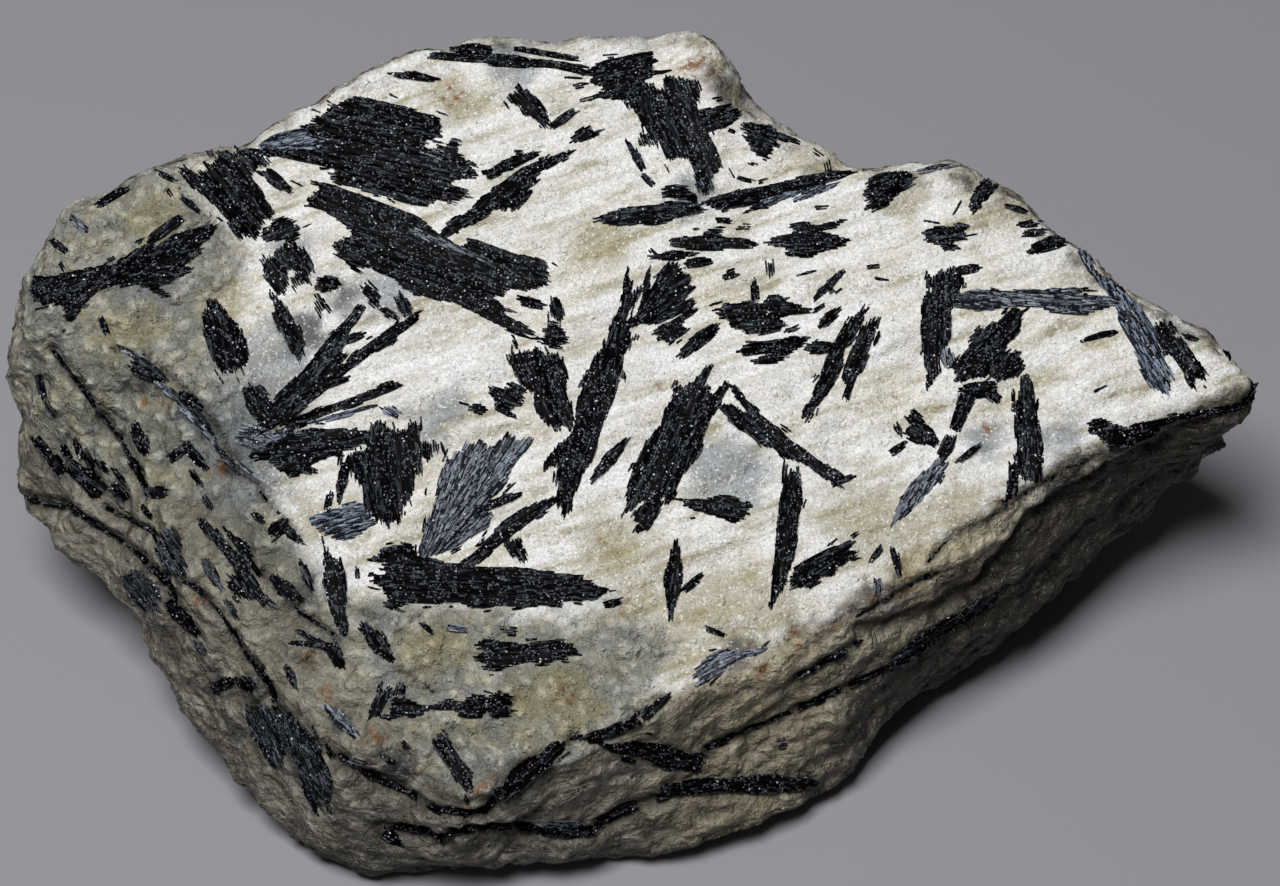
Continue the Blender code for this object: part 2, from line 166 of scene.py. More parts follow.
def grainShares(tree, place, size):
    # grains size mm across, each with random shares of its own
    cells = addNode(tree, "ShaderNodeTexVoronoi", {"Vector": place, "Scale": 1 / (size * mm)})
    return addNode(tree, "ShaderNodeSeparateColor", {0: cells.outputs["Color"]}).outputs


def attribute(tree, name):
    return addNode(tree, "ShaderNodeAttribute", attribute_name=name).outputs["Fac"]


def newMaterial(name):
    material = bpy.data.materials.new(name)
    material.use_nodes = True
    material.node_tree.nodes.clear()
    place = addNode(material.node_tree, "ShaderNodeTexCoord").outputs["Object"]
    return material, material.node_tree, place


def addSurface(tree, colour, height, look):
    # what the surface reflects, with its fine relief as bump
    bump = addNode(tree, "ShaderNodeBump", {"Strength": look["bump"], "Distance": look["relief"] * mm,
                                            "Height": height})
    shader = addNode(tree, "ShaderNodeBsdfPrincipled",
                     {"Base Color": colour, "Roughness": look["roughness"], "IOR": look["ior"],
                      "Specular IOR Level": look["gloss"], "Normal": bump.outputs[0]})
    addNode(tree, "ShaderNodeOutputMaterial", {"Surface": shader.outputs[0]})


def clamp(value, low=0.0, high=1.0):
    return max(low, min(high, value))


def smoothStep(low, high, value):
    share = clamp((value - low) / (high - low))
    return share * share * (3.0 - 2.0 * share)


def objectFrom(shape, name, material):
    # a new object at the origin from a bmesh in mm
    bmesh.ops.scale(shape, vec=(mm, mm, mm), verts=shape.verts)
    mesh = bpy.data.meshes.new(name)
    shape.to_mesh(mesh)
    shape.free()
    if material:
        mesh.materials.append(material)
    return addObject(name, mesh)


def bakeModifiers(item):
    graph = bpy.context.evaluated_depsgraph_get()
    evaluated = item.evaluated_get(graph)
    baked = bpy.data.meshes.new_from_object(evaluated, preserve_all_data_layers=True, depsgraph=graph)
    item.modifiers.clear()
    item.data = baked


def weldedNode(name):
    # a copy of a CAD node's triangles, joined up, in mm
    shape = bmesh.new()
    shape.from_mesh(nodes[name].data)
    bmesh.ops.scale(shape, vec=(1 / mm, 1 / mm, 1 / mm), verts=shape.verts)
    bmesh.ops.remove_doubles(shape, verts=shape.verts, dist=0.002)
    return shape


def triangleCount(mesh):
    mesh.calc_loop_triangles()
    return len(mesh.loop_triangles)


# Host rock

rockLook = {
    "voxel": 0.5,             # mm, mesh size of the broken surface
    "smoothRounds": 7,
    "smoothShare": 0.5,
    "seatMargin": 0.5,        # mm round a crystal in which the rock tells which way it faces
    "plugSide": 0.45,         # mm that a crystal's seat is overfilled sideways
    "plugDrop": 0.4,          # mm from a crystal's top down to the rock's surface
    "ridgePitch": 2.1,        # mm between the fine ridges of the foliation
    "ridgeHeight": 0.10,
    "ridgeFade": 5.0,         # mm over which the ridges come and go
    "swaySize": 7.0,          # mm between their bends
    "swayReach": 2.0,
    "ridgeRise": 22.0,        # degrees that the ridges rise to the right
    "lumpSize": 2.6,
    "lumpHeight": 0.25,
    "pitSize": 1.1,
    "pitHeight": 0.18,
    "cobbleSize": 3.4,        # mm across the rounded lumps of the shoulder and sides
    "cobbleHeight": 0.7,
    "layerPitch": 1.7,        # mm between the layers that show in the steep sides
    "layerDepth": 0.42,
    "wanderSize": 9.0,        # mm between the bends of those layers
    "wanderReach": 2.2,
    "kinkSize": 3.0,
    "kinkReach": 0.5,
    "soleBand": 0.35,         # mm above the flat sole that stay as they are
}


# Cracks in the rock: width and depth in mm, then the path in pixels of the photograph

def crack(width, depth, *path):
    return {"width": width, "depth": depth, "path": path}


cracks = {
    "shoulderLong": crack(1.0, 0.8, (28, 500), (64, 507), (92, 525), (131, 550), (167, 589), (177, 614)),
    "shoulderUpper": crack(1.0, 0.9, (50, 351), (71, 376), (96, 412), (117, 436), (135, 472), (145, 497)),
    "shoulderLower": crack(0.7, 0.7, (103, 507), (149, 532), (167, 571), (199, 592), (220, 614),
        (241, 649), (262, 681)),
    "wallLong": crack(0.9, 0.8, (254, 667), (280, 716), (364, 775), (398, 789), (436, 812), (466, 816),
        (489, 812), (513, 776), (572, 739), (612, 733), (665, 696)),
    "topEdge": crack(0.5, 0.35, (113, 348), (142, 353), (163, 369), (199, 404), (220, 433), (231, 461),
        (262, 493), (284, 518), (301, 539)),
    "topLower": crack(0.6, 0.4, (262, 571), (301, 614), (340, 639)),
    "fineOne": crack(0.4, 0.2, (340, 599), (379, 619)),
    "fineTwo": crack(0.35, 0.15, (395, 633), (425, 610)),
    "fineThree": crack(0.35, 0.15, (397, 665), (446, 700)),
    "frontBand": crack(1.1, 0.8, (380, 829), (420, 832), (440, 845), (453, 835), (496, 829), (539, 832),
        (592, 829), (629, 812), (679, 792), (698, 782)),
    "frontWall": crack(0.8, 0.6, (698, 756), (745, 733), (811, 706), (900, 666)),
    "frontDark": crack(1.3, 0.9, (669, 790), (740, 784), (811, 782)),
    "rightShort": crack(1.2, 0.7, (801, 680), (858, 646)),
    "rimUpper": crack(0.6, 0.3, (1117, 450), (1073, 467), (1018, 499), (991, 519), (952, 535), (928, 562)),
    "rimLower": crack(0.6, 0.3, (969, 562), (933, 576), (894, 596), (860, 615)),
    "undercut": crack(1.3, 0.8, (1199, 421), (1093, 477), (1030, 516), (986, 579), (933, 610), (860, 634)),
}

# Colour zones of the rock: centre and radius in pixels of the photograph
zones = {
    "quartz": [(270, 360, 60), (230, 430, 60), (255, 470, 44), (390, 290, 40), (150, 290, 40),
        (510, 70, 34), (730, 470, 46), (1065, 435, 30), (985, 440, 24), (690, 190, 30), (300, 250, 30),
        (440, 420, 36)],
    "olive": [(155, 215, 35), (225, 300, 30), (130, 330, 40), (620, 560, 60), (700, 620, 60),
        (760, 600, 50), (860, 520, 60), (930, 560, 70), (960, 520, 50), (900, 190, 40), (430, 650, 40),
        (450, 95, 40), (600, 240, 40), (560, 700, 60), (330, 520, 40)],
    "smoke": [(288, 735, 34), (312, 775, 26), (145, 590, 24), (170, 548, 20), (300, 598, 14),
        (250, 560, 20), (60, 470, 18), (95, 480, 18), (120, 495, 14), (150, 380, 18), (185, 405, 18),
        (205, 430, 16), (232, 462, 16), (70, 440, 12), (255, 690, 16), (215, 685, 14), (345, 720, 16),
        (735, 665, 30), (860, 665, 30), (400, 770, 22), (520, 780, 24), (300, 335, 26), (345, 300, 24)],
    "rust": [(1142, 407, 5), (985, 430, 9), (939, 525, 6), (864, 520, 5), (1078, 449, 5), (636, 410, 5),
        (450, 95, 22), (627, 606, 12), (560, 697, 14), (436, 652, 9), (462, 616, 7), (45, 262, 14),
        (131, 536, 14), (305, 663, 12), (372, 738, 14), (142, 397, 14), (658, 386, 4), (603, 541, 4),
        (232, 281, 5), (940, 460, 8), (700, 60, 26), (480, 800, 20), (960, 568, 15), (879, 601, 14),
        (802, 638, 15), (835, 616, 11), (905, 588, 13), (1010, 500, 13), (760, 668, 15), (200, 600, 14),
        (215, 470, 12), (330, 690, 15)],
}


# The broken top face in pixels of the photograph. Outside it lie the shoulder and the dark sides.
topFace = [(55, 215), (60, 212), (100, 190), (160, 168), (235, 150), (300, 105), (400, 45), (470, 38),
    (560, 42), (640, 35), (690, 25), (715, 50), (730, 95), (800, 140), (840, 165), (900, 165), (960, 165),
    (1010, 200), (1100, 260), (1150, 300), (1210, 330), (1262, 372), (1262, 385), (1200, 418), (1110, 452),
    (1020, 500), (940, 556), (860, 612), (760, 660), (690, 695), (600, 738), (520, 782), (470, 790),
    (440, 740), (400, 700), (345, 645), (300, 570), (262, 500), (225, 430), (190, 395), (150, 360),
    (105, 345), (50, 335), (30, 315), (35, 280)]


# Greyer, marble-like part of the top face and of the shoulder under it, in the same pixels; it is also
# darkened as painted shade, where the light falls off to the left and front
greyAndShadedPart = [(20, 200), (110, 172), (180, 158), (222, 214), (246, 262), (228, 300), (222, 350), (246, 384),
    (312, 392), (306, 440), (268, 468), (276, 512), (300, 540), (318, 566), (360, 600), (420, 590),
    (500, 606), (560, 616), (640, 604), (672, 640), (650, 704), (560, 770), (470, 810), (420, 760),
    (370, 700), (330, 650), (290, 600), (262, 556), (228, 520), (170, 506), (110, 500), (60, 470),
    (24, 440), (8, 390), (14, 320)]


def facingOf(rock, low, high):
    # the way that the rock's surface faces round a seat: the seat's side walls cancel out
    margin = rockLook["seatMargin"]
    total = Vector()
    for face in rock.faces:
        middle = face.calc_center_median()
        if all(a - margin < c < b + margin for a, c, b in zip(low, middle, high)):
            total += face.normal * face.calc_area()
    return total.normalized()


def fillSeat(rock, name, joined):
    # the crystal's own body, a little wider and not proud, so that no seat shows beside a crystal
    plug = weldedNode(name)
    plug.normal_update()
    points = [v.co for v in plug.verts]
    low = Vector(map(min, zip(*points)))
    high = Vector(map(max, zip(*points)))
    facing = facingOf(rock, low, high)
    for vertex in plug.verts:
        outward = vertex.normal - facing * vertex.normal.dot(facing)
        if outward.length > 0.2:      # not in the middle of a flat top
            vertex.co += outward.normalized() * rockLook["plugSide"]
        vertex.co -= facing * rockLook["plugDrop"]
    filling = bpy.data.meshes.new("filling")
    plug.to_mesh(filling)
    plug.free()
    joined.from_mesh(filling)
    bpy.data.meshes.remove(filling)
    return facing


def evenSkin():
    # host rock with its seats filled, as one even mesh in mm
    rock = weldedNode("host_rock")
    rock.normal_update()
    joined = rock.copy()
    facings = {name: fillSeat(rock, name, joined) for name in nodes if name != "host_rock"}
    rock.free()
    mesh = bpy.data.meshes.new("rockSkin")
    joined.to_mesh(mesh)
    joined.free()
    item = addObject("rockSkin", mesh)
    remesh = item.modifiers.new("evenSkin", "REMESH")
    remesh.mode = "VOXEL"
    remesh.voxel_size = rockLook["voxel"]
    soften = item.modifiers.new("soften", "SMOOTH")
    soften.factor = rockLook["smoothShare"]
    soften.iterations = rockLook["smoothRounds"]
    bakeModifiers(item)
    return item, facings


def surfaceTree(mesh):
    points = [v.co.copy() for v in mesh.vertices]
    return BVHTree.FromPolygons(points, [tuple(p.vertices) for p in mesh.polygons])


rockItem, crystalFacing = evenSkin()
skin = surfaceTree(rockItem.data)
print("rock skin", len(rockItem.data.vertices), "points")


def onRock(x, y):
    # where the line of sight through a pixel meets the rock, and the rock's normal there
    inward = Vector((cameraSetup["imageWidth"] / 2 - x, cameraSetup["imageHeight"] / 2 - y)).normalized()
    for step in range(20):
        # a pixel just off the rock goes back to its rim
        start, direction = rayThrough(x + inward.x * step * 3, y + inward.y * step * 3)
        place, normal, _, _ = skin.ray_cast(start, direction)
        if place:
            return place, normal
    place, normal, _, _ = skin.find_nearest(start + direction * cameraSetup["distance"])
    return place, normal


# Crystals. What the photograph shows of each is given in its pixels, as strokes or outlines.
# A stroke is x, y, x, y, then its width at the start, middle and end. A heading is in degrees clockwise
# from the photograph's right. Any shape may name a tone: paintedSheen is blue-grey and fibrous, a painted
# sheen along the fibres; veil is seen through clear quartz, and dusty is dulled by dirt.

crystalLook = {
    "fibreStep": 0.21,        # mm between the fibres of a crystal
    "fibreOverlap": 1.4,
    "rowStep": 0.85,
    "stand": 0.22,            # mm that a crystal stands above the rock
    "unevenness": 0.10,
    "sunk": 0.8,              # mm that its body goes down into the rock
    "raggedEnd": 0.20,        # mm that a bundle of fibres ends sooner or later
    "spacing": (0.85, 1.15),  # of the step to the next fibre
    "drift": 0.45,            # how soon fibres side by side come to stand unlike
    "lean": 0.06,             # mm that a fibre's edges lie over or under its middle
    "endPinch": 0.5,          # of its width that a fibre has at its ends
    "swell": (0.9, 1.1),      # of its width along the rest
    "jitter": 0.03,           # mm up or down from place to place
    "bundle": (1, 2, 3, 4),   # fibres in a bundle
    "shortestFibre": 0.3,
    "bladeLength": 0.6,       # mm
    "bladeWidth": 0.15,
    "bladesPerMm2": 15.0,
    "tilt": 7.0,              # degrees that a blade leaves its neighbours' direction
}


def plate(heading, *outline, tone="black"):
    # a cleaved plate: the heading of its fibres, then its corners
    return {"heading": heading, "outline": outline, "tone": tone}


def fan(focus, *outline, tone="black"):
    # a spray: the focus that its fibres spread from, then its corners
    return {"focus": focus, "outline": outline, "tone": tone}


topCrystals = {
    "fan_upper_left": [
        plate(12, (352, 97), (392, 105), (420, 112), (443, 119), (442, 134), (428, 142), (430, 149),
            (445, 148), (452, 136), (459, 143), (462, 154), (474, 167), (478, 175), (456, 180), (450, 183),
            (470, 191), (456, 204), (446, 207), (446, 202), (436, 200), (430, 207), (404, 203), (370, 192),
            (335, 183), (330, 176), (332, 168), (300, 160), (262, 155), (252, 152), (268, 149), (300, 150),
            (312, 140), (300, 127), (325, 113), (346, 100)),
        fan((225, 156), (256, 147), (270, 137), (285, 132), (303, 129), (322, 138), (344, 152), (320, 151),
            (275, 150), tone="paintedSheen"),
        (420, 150, 446, 160, 6, 12, 6, "veil")],
    "lath_great": [
        plate(20, (303, 201), (318, 191), (326, 183), (345, 190), (400, 209), (420, 219), (435, 231),
            (445, 240), (462, 247), (470, 240), (520, 256), (543, 260), (550, 277), (545, 287), (536, 288),
            (527, 292), (512, 288), (505, 297), (490, 296), (509, 312), (500, 312), (524, 326), (537, 334),
            (532, 342), (508, 331), (480, 315), (452, 302), (440, 302), (410, 292), (390, 276), (370, 268),
            (355, 268), (335, 255), (330, 245), (346, 237), (350, 228), (328, 214)),
        (518, 301, 546, 307, 8, 10, 6), (404, 228, 500, 268, 3, 5, 3, "veil")],
    "cluster_left": [
        plate(50, (178, 171), (188, 170), (197, 176), (200, 168), (225, 155), (240, 153), (258, 156),
            (270, 161), (266, 167), (254, 172), (252, 180), (258, 190), (275, 212), (270, 218), (262, 217),
            (266, 222), (262, 235), (256, 242), (246, 238), (228, 220), (205, 196), (192, 190)),
        plate(-20, (262, 230), (272, 224), (284, 219), (300, 226), (304, 232), (298, 242), (285, 240),
            (266, 242)),
        plate(60, (262, 262), (275, 252), (286, 246), (302, 246), (312, 262), (315, 272), (308, 280),
            (292, 290), (290, 284), (297, 276), (296, 268), (287, 272), (288, 288), (284, 294), (277, 294),
            (266, 280)),
        plate(35, (260, 172), (270, 170), (280, 176), (291, 188), (288, 193), (274, 187), (265, 181)),
        plate(10, (316, 283), (325, 276), (333, 277), (339, 286), (334, 291), (326, 294), (318, 290)),
        plate(60, (314, 291), (322, 296), (327, 304), (325, 313), (319, 316), (315, 306), (319, 301)),
        plate(40, (361, 293), (371, 288), (381, 296), (377, 304), (367, 308), (369, 300)),
        (226, 219, 241, 240, 3, 5, 3), (380, 309, 400, 320, 6, 9, 5), (399, 297, 410, 317, 8, 13, 10)],
    "fishtail_left": [
        fan((135, 268), (114, 266), (85, 269), (68, 273), (50, 278), (36, 276), (33, 292), (41, 307),
            (53, 303), (59, 311), (70, 325), (84, 305), (95, 293), (114, 286)),
        fan((85, 292), (108, 267), (136, 249), (147, 243), (158, 246), (180, 232), (218, 223), (209, 237),
            (190, 252), (204, 252), (188, 264), (192, 271), (172, 282), (158, 286), (170, 293), (164, 299),
            (146, 287), (127, 283), (108, 286)),
        (151, 240, 182, 218, 8, 10, 8)],
    "oval_left": [
        plate(72, (206, 305), (218, 303), (227, 314), (238, 325), (244, 337), (249, 356), (243, 368),
            (232, 373), (218, 370), (212, 359), (206, 339), (202, 322))],
    "petal_left": [
        plate(66, (274, 300), (283, 305), (294, 322), (303, 339), (304, 354), (299, 362), (288, 348),
            (280, 331), (272, 314))],
    "fan_left": [
        plate(-48, (266, 417), (274, 402), (289, 385), (306, 368), (328, 339), (342, 325), (357, 305),
            (365, 308), (360, 320), (345, 337), (352, 339), (340, 351), (350, 357), (334, 368), (317, 379),
            (306, 393), (289, 407), (277, 419)),
        plate(-36, (283, 413), (317, 379), (351, 359), (374, 339), (396, 325), (423, 308), (424, 317),
            (407, 328), (396, 340), (373, 354), (351, 370), (328, 388), (305, 408), (283, 425)),
        plate(-20, (271, 436), (294, 419), (328, 407), (362, 396), (385, 384), (396, 381), (399, 390),
            (379, 396), (351, 408), (322, 416), (294, 430), (270, 448)),
        plate(-5, (250, 452), (271, 438), (305, 430), (340, 429), (373, 433), (372, 438), (356, 447),
            (334, 456), (312, 464), (294, 475), (282, 470), (270, 459), (254, 459)),
        plate(55, (243, 388), (254, 385), (266, 396), (277, 413), (272, 424), (255, 419), (246, 407)),
        (240, 434, 276, 444, 20, 26, 16, "veil"), (300, 396, 351, 377, 4, 4, 2),
        (339, 345, 367, 333, 6, 8, 4), (250, 437, 300, 406, 7, 10, 5), (284, 424, 350, 403, 3, 5, 2),
        (306, 425, 378, 406, 2, 4, 2, "paintedSheen"), (258, 445, 306, 432, 5, 8, 3, "paintedSheen"),
        (278, 462, 316, 472, 6, 10, 5)],
    "lath_rim": [
        plate(50, (506, 93), (514, 89), (527, 92), (537, 99), (545, 110), (550, 125), (545, 128),
            (535, 120), (527, 117), (519, 107), (509, 102))],
    "spray_upper": [
        plate(-34, (438, 236), (450, 222), (470, 210), (496, 189), (522, 168), (552, 156), (578, 147),
            (568, 158), (543, 171), (537, 184), (522, 194), (511, 207), (491, 212), (476, 226), (460, 228),
            (445, 242)),
        plate(-24, (480, 176), (496, 166), (517, 156), (537, 151), (540, 156), (522, 163), (506, 171),
            (491, 181)),
        plate(-50, (511, 205), (527, 189), (532, 192), (522, 207), (514, 210))],
    "block_middle": [
        plate(72, (501, 356), (516, 351), (540, 353), (557, 352), (562, 360), (567, 373), (566, 395),
            (570, 407), (575, 418), (569, 430), (552, 428), (542, 419), (532, 405), (535, 392), (522, 384),
            (514, 374), (509, 364))],
    "lump_middle": [
        plate(25, (496, 389), (506, 384), (517, 385), (525, 389), (527, 397), (522, 405), (512, 410),
            (514, 420), (499, 412), (494, 399)),
        plate(0, (468, 407), (480, 404), (489, 410), (480, 418))],
    "lump_upper": [
        plate(80, (550, 301), (557, 295), (562, 306), (565, 314), (560, 320), (551, 317)),
        plate(10, (541, 332), (555, 322), (562, 327), (565, 341), (558, 350), (546, 347), (540, 342))],
    "blade_long": [
        plate(105, (628, 268), (630, 283), (633, 287), (630, 296), (638, 293), (635, 302), (628, 312),
            (625, 325), (632, 332), (633, 346), (624, 355), (621, 377), (618, 388), (608, 414), (597, 439),
            (595, 452), (590, 464), (585, 469), (579, 483), (570, 507), (565, 515), (556, 504), (559, 483),
            (553, 487), (558, 467), (549, 466), (542, 475), (545, 463), (554, 450), (572, 436), (577, 409),
            (574, 406), (583, 391), (578, 388), (586, 377), (594, 359), (607, 341), (609, 328), (617, 313),
            (622, 302), (624, 284)),
        (592, 479, 629, 436, 3, 13, 3)],
    "patch_top": [
        plate(-12, (581, 74), (600, 64), (625, 58), (653, 52), (648, 57), (659, 62), (655, 68), (669, 72),
            (648, 76), (646, 84), (640, 94), (622, 101), (600, 100), (588, 98), (600, 94), (604, 88),
            (588, 82), (594, 78)),
        plate(68, (620, 100), (630, 91), (645, 84), (655, 85), (662, 81), (670, 76), (680, 82), (690, 79),
            (703, 86), (704, 93), (697, 102), (697, 112), (707, 134), (713, 144), (722, 168), (712, 172),
            (711, 188), (706, 194), (698, 186), (694, 170), (690, 160), (678, 158), (668, 164), (662, 152),
            (659, 142), (650, 141), (645, 148), (640, 146), (641, 138), (650, 133), (640, 120), (637, 112)),
        plate(-18, (696, 112), (712, 108), (733, 101), (728, 107), (741, 114), (733, 122), (722, 128),
            (706, 134), (698, 124)),
        (572, 87, 588, 85, 3, 4, 2)],
    "lump_top": [
        plate(20, (742, 128), (750, 122), (758, 126), (771, 125), (778, 132), (794, 138), (807, 146),
            (790, 143), (778, 141), (773, 155), (763, 161), (757, 156), (752, 146), (747, 140))],
    "spray_right": [
        plate(-13, (701, 202), (727, 194), (758, 188), (778, 184), (809, 176), (835, 171), (858, 172),
            (840, 179), (825, 184), (809, 189), (784, 199), (758, 210), (752, 205), (737, 207), (716, 210)),
        plate(0, (660, 189), (671, 184), (686, 186), (696, 194), (697, 203), (681, 199), (666, 197)),
        plate(65, (696, 176), (707, 179), (713, 184), (709, 194), (699, 192), (695, 184), tone="paintedSheen"),
        (790, 202, 837, 184, 5, 8, 4, "paintedSheen"), (757, 206, 800, 191, 3, 5, 3, "paintedSheen"),
        (826, 161, 828, 172, 4, 7, 5)],
    "lens_upper": [
        plate(-5, (596, 221), (614, 212), (635, 207), (655, 205), (676, 202), (701, 204), (699, 212),
            (681, 217), (660, 225), (640, 224), (614, 225))],
    "block_rim": [
        plate(-25, (866, 192), (872, 178), (884, 172), (905, 172), (917, 178), (912, 186), (900, 192),
            (888, 206), (876, 212), (866, 206)),
        (917, 174, 961, 165, 6, 6, 3, "veil")],
    "lens_right": [
        plate(-5, (920, 239), (926, 230), (940, 226), (955, 228), (972, 226), (962, 232), (966, 239),
            (950, 243), (937, 245), (927, 243)),
        (940, 246, 962, 249, 4, 6, 3)],
    "blades_upper": [
        plate(1, (668, 243), (676, 237), (696, 238), (706, 228), (722, 227), (717, 235), (732, 238),
            (758, 240), (758, 248), (737, 248), (717, 251), (696, 251), (676, 248)),
        (735, 228, 751, 228, 5, 8, 5), (716, 221, 733, 222, 6, 8, 6), (648, 247, 657, 258, 4, 4, 2),
        (650, 258, 692, 254, 4, 9, 4), (690, 264, 713, 260, 7, 9, 6), (721, 278, 736, 272, 6, 9, 6)],
    "blades_right": [
        plate(-3, (783, 226), (804, 222), (814, 227), (829, 222), (845, 219), (835, 227), (825, 232),
            (851, 240), (845, 245), (825, 251), (809, 258), (789, 256), (778, 246), (768, 241), (784, 235),
            (799, 233), (789, 229)),
        plate(85, (765, 260), (774, 261), (777, 269), (771, 279), (765, 271))],
    "star_middle": [
        fan((622, 338), (644, 279), (648, 273), (650, 284), (650, 291), (656, 279), (664, 264), (672, 262),
            (681, 268), (686, 275), (689, 270), (687, 284), (695, 280), (688, 289), (696, 285), (688, 293),
            (681, 300), (697, 299), (697, 304), (679, 314), (658, 323), (640, 323), (628, 328), (626, 320),
            (636, 316), (643, 296)),
        plate(-32, (660, 327), (674, 320), (690, 308), (697, 307), (697, 312), (686, 320), (681, 325),
            (688, 332), (680, 337), (679, 343), (667, 344), (660, 337))],
    "patch_right": [
        plate(-4, (721, 318), (722, 307), (729, 301), (738, 304), (747, 301), (758, 301), (763, 304),
            (770, 295), (781, 294), (792, 298), (793, 303), (799, 303), (805, 309), (803, 314), (794, 314),
            (781, 318), (785, 326), (778, 330), (767, 334), (745, 335), (747, 329), (733, 329), (729, 325),
            (731, 320)),
        (754, 283, 755, 300, 3, 8, 10)],
    "leaf_right": [
        plate(-7, (735, 352), (744, 348), (747, 342), (758, 341), (767, 343), (779, 340), (795, 336),
            (811, 337), (802, 347), (794, 351), (790, 357), (779, 361), (779, 355), (766, 354), (749, 356),
            (740, 353)),
        (752, 361, 779, 360, 4, 7, 5),
        plate(0, (806, 349), (813, 342), (831, 343), (833, 348), (826, 353), (813, 354))],
    "fan_thin": [
        plate(119, (802, 418), (804, 409), (813, 395), (817, 382), (822, 368), (831, 348), (836, 338),
            (845, 325), (854, 316), (862, 314), (866, 308), (863, 320), (856, 332), (851, 341), (844, 350),
            (842, 368), (835, 380), (829, 391), (821, 401), (814, 411), (808, 418)),
        plate(110, (848, 404), (843, 395), (847, 386), (842, 375), (847, 359), (856, 341), (863, 325),
            (873, 320), (876, 315), (875, 330), (869, 346), (867, 359), (862, 373), (856, 378), (851, 389)),
        (821, 327, 838, 312, 7, 11, 6)],
    "post_right": [
        plate(91, (925, 272), (926, 279), (939, 273), (951, 270), (960, 273), (963, 279), (966, 288),
            (958, 290), (960, 298), (957, 305), (949, 310), (951, 325), (950, 341), (943, 345), (940, 357),
            (938, 367), (935, 376), (934, 387), (930, 391), (925, 390), (929, 371), (923, 366), (925, 357),
            (921, 348), (921, 339), (918, 332), (922, 321), (920, 312), (925, 298), (932, 292), (925, 288)),
        (960, 272, 981, 268, 6, 7, 4)],
    "fan_right": [
        plate(59, (1075, 249), (1086, 253), (1094, 271), (1101, 278), (1117, 283), (1130, 298),
            (1144, 314), (1149, 323), (1155, 332), (1158, 344), (1163, 357), (1174, 378), (1168, 378),
            (1167, 393), (1160, 392), (1155, 387), (1153, 390), (1146, 384), (1141, 371), (1133, 348),
            (1128, 337), (1116, 315), (1119, 305), (1110, 296), (1096, 280), (1087, 269), (1078, 257),
            tone="paintedSheen"),
        plate(57, (1153, 325), (1162, 322), (1174, 325), (1177, 330), (1174, 337), (1185, 341),
            (1192, 353), (1199, 364), (1207, 373), (1205, 380), (1196, 378), (1196, 388), (1189, 387),
            (1180, 366), (1171, 353), (1167, 357), (1162, 348), (1153, 332)),
        plate(70, (1083, 250), (1090, 250), (1092, 259), (1087, 257)),
        plate(3, (949, 293), (962, 295), (974, 291), (1001, 291), (1033, 291), (1064, 289), (1083, 289),
            (1083, 293), (1065, 295), (1101, 297), (1117, 298), (1119, 303), (1110, 307), (1085, 314),
            (1066, 315), (1055, 313), (1042, 308), (1001, 307), (974, 312), (969, 307), (958, 308),
            tone="veil")],
    "elbow_right": [
        plate(-45, (954, 377), (953, 366), (960, 359), (962, 353), (969, 348), (971, 337), (976, 328),
            (981, 325), (983, 330), (992, 321), (999, 323), (1005, 314), (1014, 307), (1022, 309),
            (1019, 321), (1021, 328), (1017, 334), (1012, 341), (1005, 344), (1005, 351), (1019, 353),
            (1026, 358), (1026, 366), (1023, 376), (1001, 378), (987, 378), (969, 378)),
        plate(88, (1019, 376), (1026, 375), (1034, 391), (1033, 398), (1037, 418), (1042, 441),
            (1042, 471), (1040, 481), (1033, 480), (1023, 480), (1015, 477), (1017, 487), (1011, 498),
            (1006, 502), (1005, 496), (1008, 482), (1008, 464), (1014, 464), (1017, 448), (1014, 425),
            (1016, 407), (1011, 398), (1013, 390), (1019, 404))],
    "blade_low_right": [
        plate(125, (937, 459), (945, 459), (944, 469), (938, 476), (938, 482), (930, 489), (919, 501),
            (905, 514), (897, 520), (892, 529), (896, 512), (903, 496), (908, 487), (917, 480), (921, 473),
            (933, 466), tone="veil"),
        (928, 480, 908, 508, 3, 5, 3, "paintedSheen")],
    "block_tip": [
        plate(-12, (1085, 421), (1089, 423), (1099, 418), (1105, 418), (1117, 425), (1124, 430),
            (1133, 425), (1155, 419), (1174, 415), (1188, 417), (1167, 425), (1160, 432), (1137, 443),
            (1114, 451), (1108, 450), (1110, 443), (1101, 439), (1098, 434), (1087, 432), (1092, 428))],
    "fan_middle": [
        plate(84, (371, 425), (376, 420), (383, 421), (391, 428), (400, 429), (407, 427), (408, 422),
            (418, 419), (420, 434), (418, 441), (432, 443), (442, 446), (434, 453), (427, 463), (422, 461),
            (422, 474), (415, 480), (413, 494), (408, 501), (403, 506), (400, 518), (394, 525), (388, 525),
            (374, 518), (368, 518), (363, 507), (365, 498), (362, 487), (357, 484), (355, 475), (349, 472),
            (347, 457), (354, 451), (366, 450), (367, 445), (360, 442), (360, 438), (366, 434)),
        (346, 462, 338, 506, 8, 9, 4), (331, 491, 327, 510, 4, 6, 6),
        (385, 407, 400, 416, 8, 11, 7, "paintedSheen")],
    "fan_grey": [
        fan((414, 580), (448, 454), (459, 453), (464, 444), (475, 442), (488, 446), (500, 442), (505, 438),
            (518, 440), (532, 438), (532, 443), (525, 450), (518, 459), (511, 468), (506, 484), (500, 491),
            (487, 502), (480, 509), (492, 515), (488, 527), (477, 534), (464, 541), (455, 548), (445, 551),
            (430, 557), (420, 557), (416, 552), (424, 536), (427, 523), (432, 511), (436, 495), (441, 470),
            tone="veil"),
        (472, 513, 523, 492, 4, 7, 4)],
    "sheaf_blue": [
        plate(-15, (309, 518), (320, 515), (327, 511), (337, 509), (341, 513), (342, 507), (349, 503),
            (357, 503), (365, 509), (366, 514), (377, 523), (368, 528), (361, 534), (354, 538), (345, 540),
            (334, 536), (325, 534), (312, 527), tone="paintedSheen")],
    "splinter_low": [
